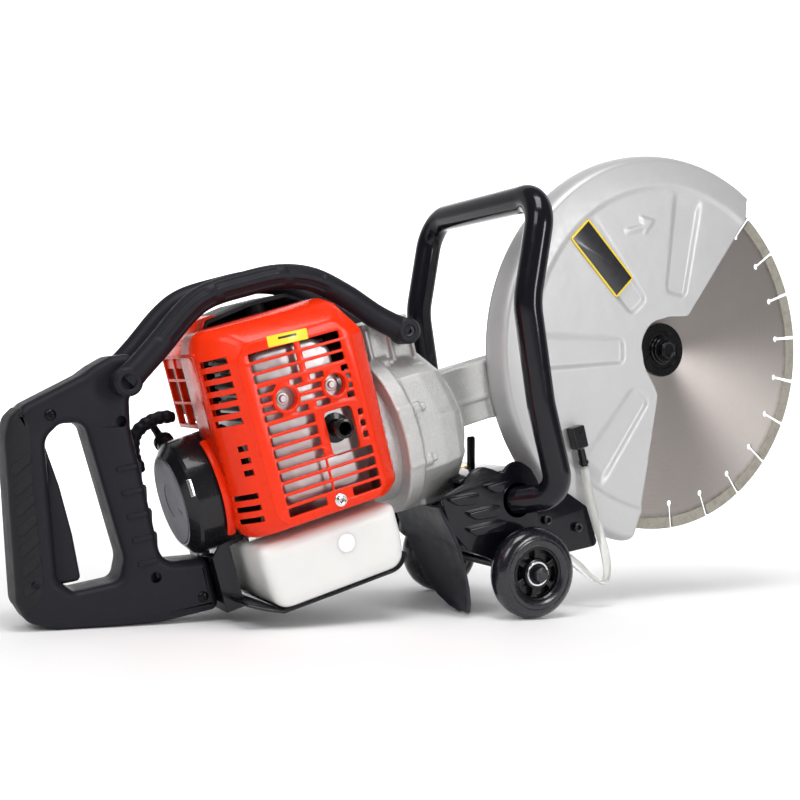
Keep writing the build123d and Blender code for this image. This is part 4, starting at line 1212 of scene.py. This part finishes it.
# ---- tank ----
def fuel_tank():
    """Blow-moulded tank with its filler neck, and the round white sticker on its near side."""
    outline = [(-459, -46), (-459.5, -60), (-456, -101), (-338, -101), (-334.5, -75), (-335, -46)]
    body = plate("tank", [rounded(outline, [5, 20, 14, 15, 20, 5], 8)], -45.6, 103.6, 9, 6, 180)
    collar = [(-60, 0), (-60, 15), (-38.5, 15), (-38, 14.5), (-38, 0)]
    body = joined("tank_shell", body, turned("neck", Matrix.Translation((-365, 94, 0)), collar, 48))
    keep(melted(body, 2.2, 6, 0.6), "chassis", "tank_plastic", tank_white, "fuel_tank")
    film = [(-46.2, 0), (-46.2, 7.4), (-45.9, 7.6), (-44.6, 7.6), (-44.6, 0)]
    sticker = turned("tank_sticker", along_y(-386.5, -64.5), film, 48)
    keep(sticker, "chassis", "tank_plastic", sticker_white)


def tank_skid():
    """Black strap wrapped closely under the tank, with a rolled near edge."""
    x, z = -349.0, -86.5
    curl = [(a, r) for r, turns in ((18.2, range(-90, -14, 8)), (15.7, range(-15, -91, -8))) for a in turns]
    strip = [(-480, -88), (-450, -104.8)]
    strip += [(x + r * cos(radians(a)), z + r * sin(radians(a))) for a, r in curl]
    strip += [(-449, -102.2), (-479, -85.4)]
    strap = plate("strap", [rounded(strip, 1.0, 3)], -36, 90, 0.8, 3)
    bead = [(-478, -87.5), (-464, -96), (-450, -103.3), (-400, -103.6), (-349, -103.5)]
    bead += [(x + 17 * cos(radians(a)), z + 17 * sin(radians(a))) for a in range(-80, -19, 10)]
    edge = swept("edge", [Vector((u, -36, v)) for u, v in bead], round_section(1.5), 14)
    keep(joined("tank_strap", strap, edge), "chassis", "black_plastic", gloss, "tank_skid")


# ---- wheels ----
def mirrored(half):
    """A turned profile completed by its own mirror image, so that both faces are alike."""
    return half + [(-h, r) for h, r in reversed(half)]


def wheel(side, y, body):
    """Tyre with rounded tread, six-spoke hub, bearing ring and seal."""
    place = along_y(WHEEL_X, WHEEL_Z, y)
    half = TYRE_W / 2
    arc = [(half * 0.96 * cos(a), 31.4 + 8.6 * sin(a)) for a in (radians(9 * k) for k in range(21))]
    sidewall = [(-8.5, 23.4), (-9.6, 23.6), (-11.0, 26), (-11.3, 30.2), (-11.0, 30.8)]
    profile = sidewall + [(-h, r) for h, r in arc + sidewall[::-1]]
    tread = turned(f"{side}_wheel_tread", place, profile, 128, 40)
    keep(tread, body, "wheel_urethane", wheel_urethane, f"{side}_tyre")
    # the openings leave spokes that taper towards the rim
    outlines = [circle(WHEEL_X, WHEEL_Z, 22.8, 96)]
    for k in range(6):
        a = pi / 3 * k + 0.18
        low, high = a + 0.15, a + pi / 3 - 0.15
        corners = [(20.2, low + (high - low) * j / 6) for j in range(7)]
        corners += [(13.4, high - 0.04), (13.4, low + 0.04)]
        points = [(WHEEL_X + r * cos(turn), WHEEL_Z + r * sin(turn)) for r, turn in corners]
        outlines.append(rounded(points, [1.5, 0, 0, 0, 0, 0, 1.5, 1.2, 1.2], 4))
    spokes = plate("spokes", outlines, y - 6.2, y + 6.2, 0.8, 2)
    web = turned("web", place, [(-1, 0), (-1, 21), (1, 21), (1, 0)], 64)
    spokes = joined("spokes", spokes, web)
    rim = turned("rim", place, mirrored([(-8.6, 23.6), (-9.2, 23.2), (-8.8, 21.4), (-6, 20.6)]), 96)
    boss = turned("boss", place, mirrored([(-9.2, 10.8), (-9.6, 11.3), (-9.2, 12.9), (-7, 13.6)]), 96)
    keep(joined(f"{side}_wheel_hub", spokes, rim, boss), body, "black_gloss_plastic", hub_black,
         f"{side}_hub")
    race = mirrored([(-9.4, 8.9), (-9.7, 9.2), (-9.7, 10.5), (-9.4, 10.8)])
    keep(turned(f"{side}_wheel_bearing", place, race, 96), body, "bright_steel", bright)
    seal = mirrored([(-8.6, 4.2), (-8.6, 8.95)])
    keep(turned(f"{side}_wheel_seal", place, seal, 64), body, "black_plastic", plastic)


def wheel_axle():
    """Axle rod with a nut and a rounded end beyond each wheel."""
    pieces = []
    for y, out in ((NEAR_WHEEL_Y - TYRE_W / 2 - 1, -1), (FAR_WHEEL_Y + TYRE_W / 2 + 1, 1)):
        nut = [circle(WHEEL_X, WHEEL_Z, 6.9, 6, 0.3)]
        pieces.append(plate("nut", nut, *sorted((y - 2.6 * out, y + 3.6 * out)), 0.7, 2))
        end = [(y + out * 4.4, 0), (y + out * 4.4, 3.2), (y + out * 3.8, 3.8), (y, 3.8), (y, 0)]
        pieces.append(turned("end", along_y(WHEEL_X, WHEEL_Z), end, 32))
    y0, y1 = NEAR_WHEEL_Y - 12, FAR_WHEEL_Y + 12
    rod = [(y0, 0), (y0, 3.95), (y1, 3.95), (y1, 0)]
    pieces.append(turned("rod", along_y(WHEEL_X, WHEEL_Z), rod, 32))
    keep(joined("axle_rod", *pieces), "chassis", "bright_steel", dark_steel, "wheel_axle")


def wheel_bracket():
    """Folded black carrier: two lobed cheeks, cross plates, folded lips, clamps and the guard's stay."""
    cheek = [(-286, -58), (-262, -54), (-252, -46), (-240, -44), (-230, -50), (-222, -56), (-212, -50),
             (-202, -50), (-192, -60), (-186, -78), (-198, -108), (-212, -157), (-242, -157), (-250, -128),
             (-272, -112), (-284, -90)]
    radii = [5, 5, 10, 12, 10, 3, 10, 12, 14, 20, 16, 14, 16, 12, 14, 8]
    parts = [plate("cheek", [rounded(cheek, radii)], y, y + 4, 0.9, 3) for y in (-33, 89)]
    parts.append(bevelled(box_piece("deck", -283, -250, -29, 89, -74, -70), 0.8))
    parts.append(bevelled(box_piece("web", -277, -273, -29, 89, -106, -74), 0.8))
    shelf = [(-277, -105), (-273, -109), (-204, -132), (-200, -128)]
    parts.append(plate("shelf", [rounded(shelf, 1)], -29, 89, 0.6, 2))
    # stepped cross plates between the cheeks
    for x0, z0, x1, z1, y1 in ((-264, -50, -236, -50, 52), (-236, -54, -206, -55, 60),
                               (-262, -74, -232, -79, 20), (-258, -96, -226, -104, 89)):
        fold = [(x0, z0), (x1, z1), (x1 + 0.4, z1 - 3.4), (x0 + 0.4, z0 - 3.4)]
        parts.append(plate("fold", [rounded(fold, 1.1)], -29, y1, 0.7, 2))
    # folded lips standing off the near cheek, one above the other
    for x0, z0, x1, z1 in ((-281, -60.3, -252.6, -64.4), (-242.2, -61.1, -222, -62.1),
                           (-265.7, -78.4, -234, -81.3), (-269.3, -91.9, -232.3, -95.7)):
        lip = [(x0, z0), (x1, z1), (x1 + 0.3, z1 - 3), (x1 - 6, z1 - 9), (x0 + 7, z0 - 9), (x0 + 0.3, z0 - 3)]
        parts.append(plate("lip", [rounded(lip, [1.2, 1.2, 1.2, 4, 4, 1.2])], -39, -31, 1.1, 4))
    for y0, y1 in ((-33, -22), (82, 93)):
        clamp = [(y0, 12.6), (y0, 15.6), (y0 + 1.2, 17), (y1 - 1.2, 17), (y1, 15.6), (y1, 12.6)]
        parts.append(turned("clamp", along_y(-212, -84), clamp, 64))
    bm = bmesh.new()
    add_rod(bm, (-246, -31, -66), (-246, 40, -66), 8.5, 40)
    add_rod(bm, (-214, -31, -66), (-214, 60, -66), 9.5, 40)
    parts.append(bevelled(from_bmesh("tube", bm), 0.8))
    # folded stay that carries the guard
    stay = [(-157, -91), (-134, -116), (-131, -155), (-163, -151), (-196, -136), (-225, -121), (-222, -96)]
    parts.append(plate("stay", [rounded(stay, [4, 5, 5, 8, 20, 8, 8])], -20, -16, 0.9, 3))
    parts.append(bevelled(box_piece("tab", -222, -208, -30, -18, -118, -100), 1.2))
    keep(joined("wheel_carrier", *parts), "chassis", "black_gloss_steel", gloss, "wheel_bracket")


def splash_flap():
    """Curved rubber tongue: wide at its top, narrowing to a tip, with a notched far edge."""
    # rows from top to tip: (z, near edge y, far edge y, x of the middle, how far the middle bows forward)
    rows = [(-68, -28, 62, -287, 2), (-80, -32, 61, -286, 3), (-92, -37, 60, -285, 5),
            (-101, -40, 66, -285, 7), (-104, -41, 55, -285, 8), (-120, -44, 46, -286, 10),
            (-140, -44, 31, -287, 10), (-154, -40, 16, -287, 8), (-163, -33, 0, -286, 4),
            (-166, -27, -12, -285, 2)]
    bm = bmesh.new()
    across = 22
    shares = [k / across for k in range(across + 1)]
    grid = []
    for z, y0, y1, x, bow in rows:
        grid.append([bm.verts.new((x + bow * (1 - (2 * t - 1) ** 2), y0 + (y1 - y0) * t, z)) for t in shares])
    bridge(bm, grid, closed=False)
    tongue = from_bmesh("splash_tongue", bm, 60)
    modified(tongue, "SUBSURF", subdivision_type="SIMPLE", levels=1)
    sheet(tongue, 3.0)
    bevelled(tongue, 0.8, 2, 50)
    keep(tongue, "chassis", "soft_grip", flap_rubber, "splash_flap")


# ---- water feed ----
def water_feed():
    """Elbow on the guard, clear hose to the brass tap behind the bracket, and the tap's lever."""
    y = GUARD_FACE_Y - 7
    block_part = bevelled(box_piece("elbow", -136, -122, y - 4.5, y + 6.6, -61, -40), 1.6, 4)
    bm = bmesh.new()
    add_rod(bm, (-126.5, y - 5.2, -46.5), (-126.5, y - 3, -46.5), 2.4, 24)
    for z0, z1, r in ((-62, -73, 3.6), (-73, -76, 4.6), (-76, -80, 3.4)):
        add_rod(bm, (-129, y, z0), (-129, y, z1), r)
    elbow = joined("water_elbow_body", block_part, from_bmesh("fittings", bm))
    keep(elbow, "chassis", "black_plastic", gloss_plastic, "water_elbow")
    line = smooth_line([(-129, y, -78), (-131, y, -100), (-130.5, y - 1, -130), (-129, y - 2, -160),
                        (-132, y - 3, -180), (-139.5, y - 4, -187.5), (-149, y - 1, -180),
                        (-159, y + 6, -163), (-174, y + 16, -142), (-200, y + 29, -118),
                        (-224, y + 40, -98), (-232, y + 43, -84)], 1.5)

    def section(t, angle):
        # the tube flattens where it folds under the guard
        fold = max(0.0, 1 - abs(t - 0.44) / 0.1)
        return 4.2 * (1 + 0.25 * fold) * cos(angle), 4.2 * (1 - 0.55 * fold) * sin(angle)
    hose = swept("water_hose_clear", line, section, 36, smooth=80)
    keep(hose, "chassis", "clear_hose", hose_clear, "water_hose")
    body = [(-81, 0), (-81, 3.1), (-79, 3.1), (-77, 3.9), (-75, 3.3), (-75, 5.6), (-73, 7), (-51.5, 7),
            (-50, 5), (-50, 0)]
    turned_body = turned("tap_turned", Matrix.Translation((-232, 20, 0)), body, 48)
    barbs = [(-232, 0), (-232, 6), (-222.6, 6), (-222, 5.4), (-222, 4), (-216, 4), (-215, 3.3), (-212, 4),
             (-211, 3.3), (-208, 4), (-207, 3.3), (-204, 3.9), (-203, 3.2), (-203, 0)]
    tap = joined("water_tap_body", turned_body, turned("tail", along_x(0, 20, -66), barbs, 32))
    keep(tap, "chassis", "brass", brass_metal, "water_tap")
    arm = [(-236, -63), (-228.5, -62), (-218.6, -26), (-219.5, -24), (-225, -23), (-226, -25)]
    arm = plate("tap_arm", [rounded(arm, [3, 3, 2, 2, 2, 2])], 5.6, 9, 0.8, 3)
    hinge = turned("hinge", along_y(-232, -60), [(8.5, 0), (8.5, 4), (12.8, 4), (12.8, 0)], 32)
    keep(joined("tap_handle", arm, hinge), "tap", "black_steel", gloss, "tap_lever")


# ---- castings ----
def clutch_housing():
    """Sand-cast clutch housing: flanged bell, stepped nose, ribbed top block and feet."""
    axis = along_x(0)
    bm = bmesh.new()
    flange = [(-310, 50), (-310, 69.5), (-309, 71), (-295, 71), (-294, 69.5), (-293, 64), (-293, 58),
              (-306, 58), (-306, 50)]
    add_turned(bm, axis, flange, 128)
    # the bell itself has ten nearly flat sides that meet in soft ridges
    bell = [(-296, 58), (-296, 69.5), (-272, 69.5), (-256, 67), (-249, 63), (-246, 56), (-246, 17),
            (-252, 17), (-252, 46), (-268, 58)]
    add_turned(bm, axis @ Matrix.Rotation(radians(9), 4, "Z"), bell, 10)
    add_box(bm, -302, -256, 10, 50, 42, 100)
    add_box(bm, -302, -256, -4, 64, 40, 57)
    for x in (-300, -279, -258):
        add_box(bm, x - 1.6, x + 1.6, 6, 54, 42, 96)
    turns = [radians(a) for a in (20, 70, 110, 160, 200, 250, 290, 340)]
    lugs = [(MID_Y + 66.5 * cos(a), 66.5 * sin(a)) for a in turns]
    for y, z in lugs:
        add_rod(bm, (-309, y, z), (-286, y, z), 5.4, 28)
    for y0, y1 in ((0, 14), (46, 60)):
        add_box(bm, -286, -254, y0, y1, -70, -50)
    shell = melted(from_bmesh("clutch_bell", bm), 1.3, 3, 0.5)
    cut(shell, turned("seam", axis, [(-294.6, 60), (-294.6, 71.9), (-293.6, 71.9), (-293.6, 60)], 128))
    keep(shell, "chassis", "cast_alloy", alloy, "clutch_housing")
    bolts = []
    for y, z in lugs:
        bm = bmesh.new()
        add_rod(bm, (-286, y, z), (-281.5, y, z), 3.6, 28)
        bolts.append(bevelled(from_bmesh("bolt", bm), 0.5, 2))
    keep(joined("housing_bolts", *bolts), "chassis", "cast_alloy", alloy)


def transmission_arm():
    """Cast arm: square tunnel with two parting ribs, a collar at the housing and a round gearcase."""
    near, far = 12.5, 47.5
    bm = bmesh.new()
    add_box(bm, -248, -26, near, far, 7.5, 36.6)
    add_box(bm, -248, -26, near + 1, far - 1, -14.5, 7.0)
    add_box(bm, -248, -30, near - 1.2, far + 1.2, 4.8, 8.2)
    for y in (near, far - 3):
        add_box(bm, -246, -26, y, y + 3, 33, 39)
    for x in (-240, -190, -140, -90):
        add_box(bm, x - 1.5, x + 1.5, near - 0.8, far + 0.8, -15, 37.5)
    add_turned(bm, along_x(0), [(-246, 0), (-246, 46), (-238, 45), (-235, 40), (-235, 0)], 96)
    add_turned(bm, along_y(0, 0), [(6, 0), (6, 22.5), (13, 22.5), (13, 36), (61.5, 36), (61.5, 0)], 96)
    arm = melted(from_bmesh("cast_arm", bm), 1.2, 3, 0.5)
    keep(arm, "chassis", "cast_alloy", alloy, "transmission_arm")
    lid = [(62, 0), (62, 35.4), (65, 36), (66, 35), (66, 20), (68.5, 18), (68.5, 0)]
    keep(turned("gearcase_lid", along_y(0, 0), lid, 96), "chassis", "cast_alloy", alloy, "gearcase_cover")


# ---- screws and bolts ----
def fasteners():
    """Screws of the bars, the stay, the gearcase lid, the cover and the handle."""
    heads = [socket_screw(*BAR_POINTS[-1], NEAR_BAR_Y - BAR_R + 1.6, 1, 5.0, 3.0)]
    for x, z in (BAR_POINTS[0], BAR_POINTS[-1]):
        heads.append(socket_screw(x, z, FAR_BAR_Y + BAR_R - 1.6, -1, 5.0, 3.0))
    for x, z in ((-180.5, -114), (-150, -131)):
        heads.append(socket_screw(x, z, -24.2, 1, 4.4, 4.4))
    keep(joined("black_screws", *heads), "chassis", "black_steel", dark_steel)
    x, z = -385, -27.5
    washer = [(-1.2, 2.5), (-1.6, 3), (-1.6, 5.0), (-1.2, 5.4), (-0.2, 5.4), (-0.2, 2.5)]
    heads = [turned("washer", along_y(x, z, COVER_Y), washer, 40),
             socket_screw(x, z, COVER_Y - 4.6, 1, 3.5, 3.6)]
    for turn in (radians(45 + 90 * k) for k in range(4)):
        heads.append(socket_screw(32.4 * cos(turn), 32.4 * sin(turn), 70, -1, 4.4, 4.0))
    keep(joined("bright_screws", *heads), "chassis", "bright_steel", bright, "case_bolts")
    heads = [cross_screw(x, z, HANDLE_NEAR_Y - 0.2, 4.4) for x, z in ((-578, 97), (-624, -26), (-499, -80))]
    keep(joined("handle_screw_heads", *heads), "chassis", "black_steel", black_screw, "handle_screws")


# ---- CAD nodes that keep their own shape ----
def finish_cad_nodes():
    looks = {"blade_core": blade_steel, "blade_segments": segment_metal, "spindle": steel,
             "spindle_gear": steel, "pinion_shaft": steel, "clutch_drum": steel, "clutch_shoes": steel,
             "flywheel_fan": alloy, "crankshaft": steel, "connecting_rod": steel, "piston": alloy,
             "ball_bearings": bright, "crankcase": alloy, "cylinder": alloy, "spark_plug": bright,
             "ignition_coil": plastic, "carburettor": alloy, "choke_lever": plastic,
             "primer_bulb": hose_clear, "air_filter_base": plastic, "air_filter_element": filter_foam,
             "air_filter_cover": plastic, "starter_pulley": plastic, "rewind_spring": steel,
             "top_shroud": plastic, "stop_switch": plastic, "handle_bracket": gloss, "fuel_cap": plastic,
             "guard_back_plate": silver}
    for name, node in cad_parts.items():
        if node.hide_render or name not in looks:
            continue
        paint(node, looks[name])


# ---- floor, light and camera ----
def studio():
    scene = bpy.context.scene
    s = Surface("pale_floor", (0.93, 0.93, 0.935), 0.7)
    s.vary_roughness(s.noise(60, 3), 0.66, 0.76)
    s.tint(s.ramp(s.noise(400, 3), 0.3, 0.7, 0, 0.3), (0.91, 0.91, 0.92))
    # a floor that sweeps up behind the saw, across the camera's line of sight
    heading = radians(CAMERA_HEADING)
    away = Vector((sin(heading), cos(heading), 0))
    across = Vector((cos(heading), -sin(heading), 0))
    bend_start, bend_r = 1.6, 2.0
    bend = [(bend_start + bend_r * sin(a), bend_r - bend_r * cos(a))
            for a in (radians(5 * k) for k in range(19))]
    bm = bmesh.new()
    rows = []
    for forward, height in [(-6.0, 0.0)] + bend + [(bend_start + bend_r, 6.0)]:
        middle_point = away * forward + Vector((0, 0, height))
        rows.append([bm.verts.new(middle_point + across * reach) for reach in (-9, 9)])
    bridge(bm, rows, closed=False)
    floor = from_bmesh("floor", bm, 60)
    floor.data.materials.append(s.material)

    world = bpy.data.worlds.new("studio")
    world.use_nodes = True
    scene.world = world
    nodes, links = world.node_tree.nodes, world.node_tree.links
    path = nodes.new("ShaderNodeLightPath")
    # mirrors see a darker room than the eye does, so black stays black
    seen = nodes.new("ShaderNodeMapRange")
    seen.inputs["To Min"].default_value = 0.5
    seen.inputs["To Max"].default_value = 0.12
    links.new(path.outputs["Is Glossy Ray"], seen.inputs["Value"])
    eye = nodes.new("ShaderNodeMath")
    eye.operation = "MAXIMUM"
    links.new(path.outputs["Is Camera Ray"], eye.inputs[0])
    links.new(seen.outputs["Result"], eye.inputs[1])
    links.new(eye.outputs["Value"], nodes["Background"].inputs["Strength"])
    nodes["Background"].inputs["Color"].default_value = (1, 1, 1, 1)

    def lamp(name, power, size, offset, aim=Vector((0, 0, 0.2)), height_size=None):
        data = bpy.data.lights.new(name, "AREA")
        data.energy = power
        data.shape = "RECTANGLE"
        data.size = size
        data.size_y = height_size or size
        obj = linked(name, data)
        side, toward, up = offset
        obj.location = across * side - away * toward + Vector((0, 0, up))
        obj.rotation_euler = (aim - obj.location).to_track_quat("-Z", "Y").to_euler()
    lamp("key", 11, 0.8, (-0.85, 1.5, 1.45))
    lamp("fill", 10, 0.34, (1.45, 1.3, 0.66), height_size=0.7)
    lamp("top", 15, 0.8, (0.0, 0.55, 1.8))
    lamp("back", 80, 3.0, (0.0, -1.9, 1.7), aim=Vector((0, 0, 0.1)) + away * 3.4)
    scene.view_settings.view_transform = "Standard"
    scene.view_settings.look = "None"


CAMERA_HEADING = 27.0035           # degrees from +Y towards +X
CAMERA_RISE = 0.0683               # degrees above level
CAMERA_ROLL = 1.7095               # degrees about its line of sight
CAMERA_PLACE = (-761.42, -973.58, 172.37)          # in the saw's axes, mm
SENSOR, LENS = 36.0, 56.13975       # mm


def camera():
    data = bpy.data.cameras.new("camera")
    data.lens = LENS
    data.sensor_width = SENSOR
    data.clip_start = 0.05
    data.clip_end = 30.0
    obj = linked("camera", data)
    turn = (Matrix.Rotation(-radians(CAMERA_HEADING), 4, "Z")
            @ Matrix.Rotation(radians(90 + CAMERA_RISE), 4, "X")
            @ Matrix.Rotation(radians(CAMERA_ROLL), 4, "Z"))
    obj.matrix_world = Matrix.Translation(SAW @ Vector(CAMERA_PLACE)) @ turn
    bpy.context.scene.camera = obj


# ---- the saw ----
plastic = matt_black()
gloss = gloss_black()
gloss_plastic = gloss_black("gloss_black_plastic", (0.009, 0.009, 0.011), 0.22, 0.03, 0.5)
hub_black = gloss_black("hub_black", (0.004, 0.004, 0.005), 0.26, 0.02, 0.3)
# near-black, very rough black that paints shade where the view reaches into the dark inside of the saw
shade_black = matt_black("shade_black", (0.004, 0.004, 0.004), 0.9, 1.2, 0.1, 0)
grip_rubber = matt_black("grip_rubber", (0.014, 0.014, 0.016), 0.55, 1.3, 0.09, 0.4)
disc_grey = matt_black("disc_grey", (0.16, 0.16, 0.185), 0.42, 0.8, 0.04, 0.3)
red = red_gloss()
alloy = cast_alloy()
silver = silver_paint()
blade_steel = brushed_blade()
segment_metal = diamond_segment()
tank_white = milky_tank()
sticker_white = white_film()
hose_clear = clear_tube()
flap_rubber = soft_rubber()
wheel_urethane = urethane()
can_steel = muffler_steel()
filter_foam = foam()
brass_metal = machined("brass", (0.72, 0.52, 0.22), 0.28)
steel = machined("steel", (0.5, 0.5, 0.51), 0.3)
bright = machined("bright_steel", (0.78, 0.78, 0.78), 0.18)
dark_steel = machined("dark_steel", (0.07, 0.07, 0.075), 0.34)
black_screw = machined("black_screw", (0.022, 0.022, 0.025), 0.3)
rope_fibre = braided_cord()

blade_hub()
guard()
guard_label()
loop_handle()
bars()
rear_handle()
overlay()
trigger()
engine_cover()
cover_sticker()
muffler()
starter()
pull_grip()
fuel_tank()
tank_skid()
wheel("near", NEAR_WHEEL_Y, "near_wheel")
wheel("far", FAR_WHEEL_Y, "far_wheel")
wheel_axle()
wheel_bracket()
splash_flap()
water_feed()
clutch_housing()
transmission_arm()
fasteners()
finish_cad_nodes()
studio()
camera()
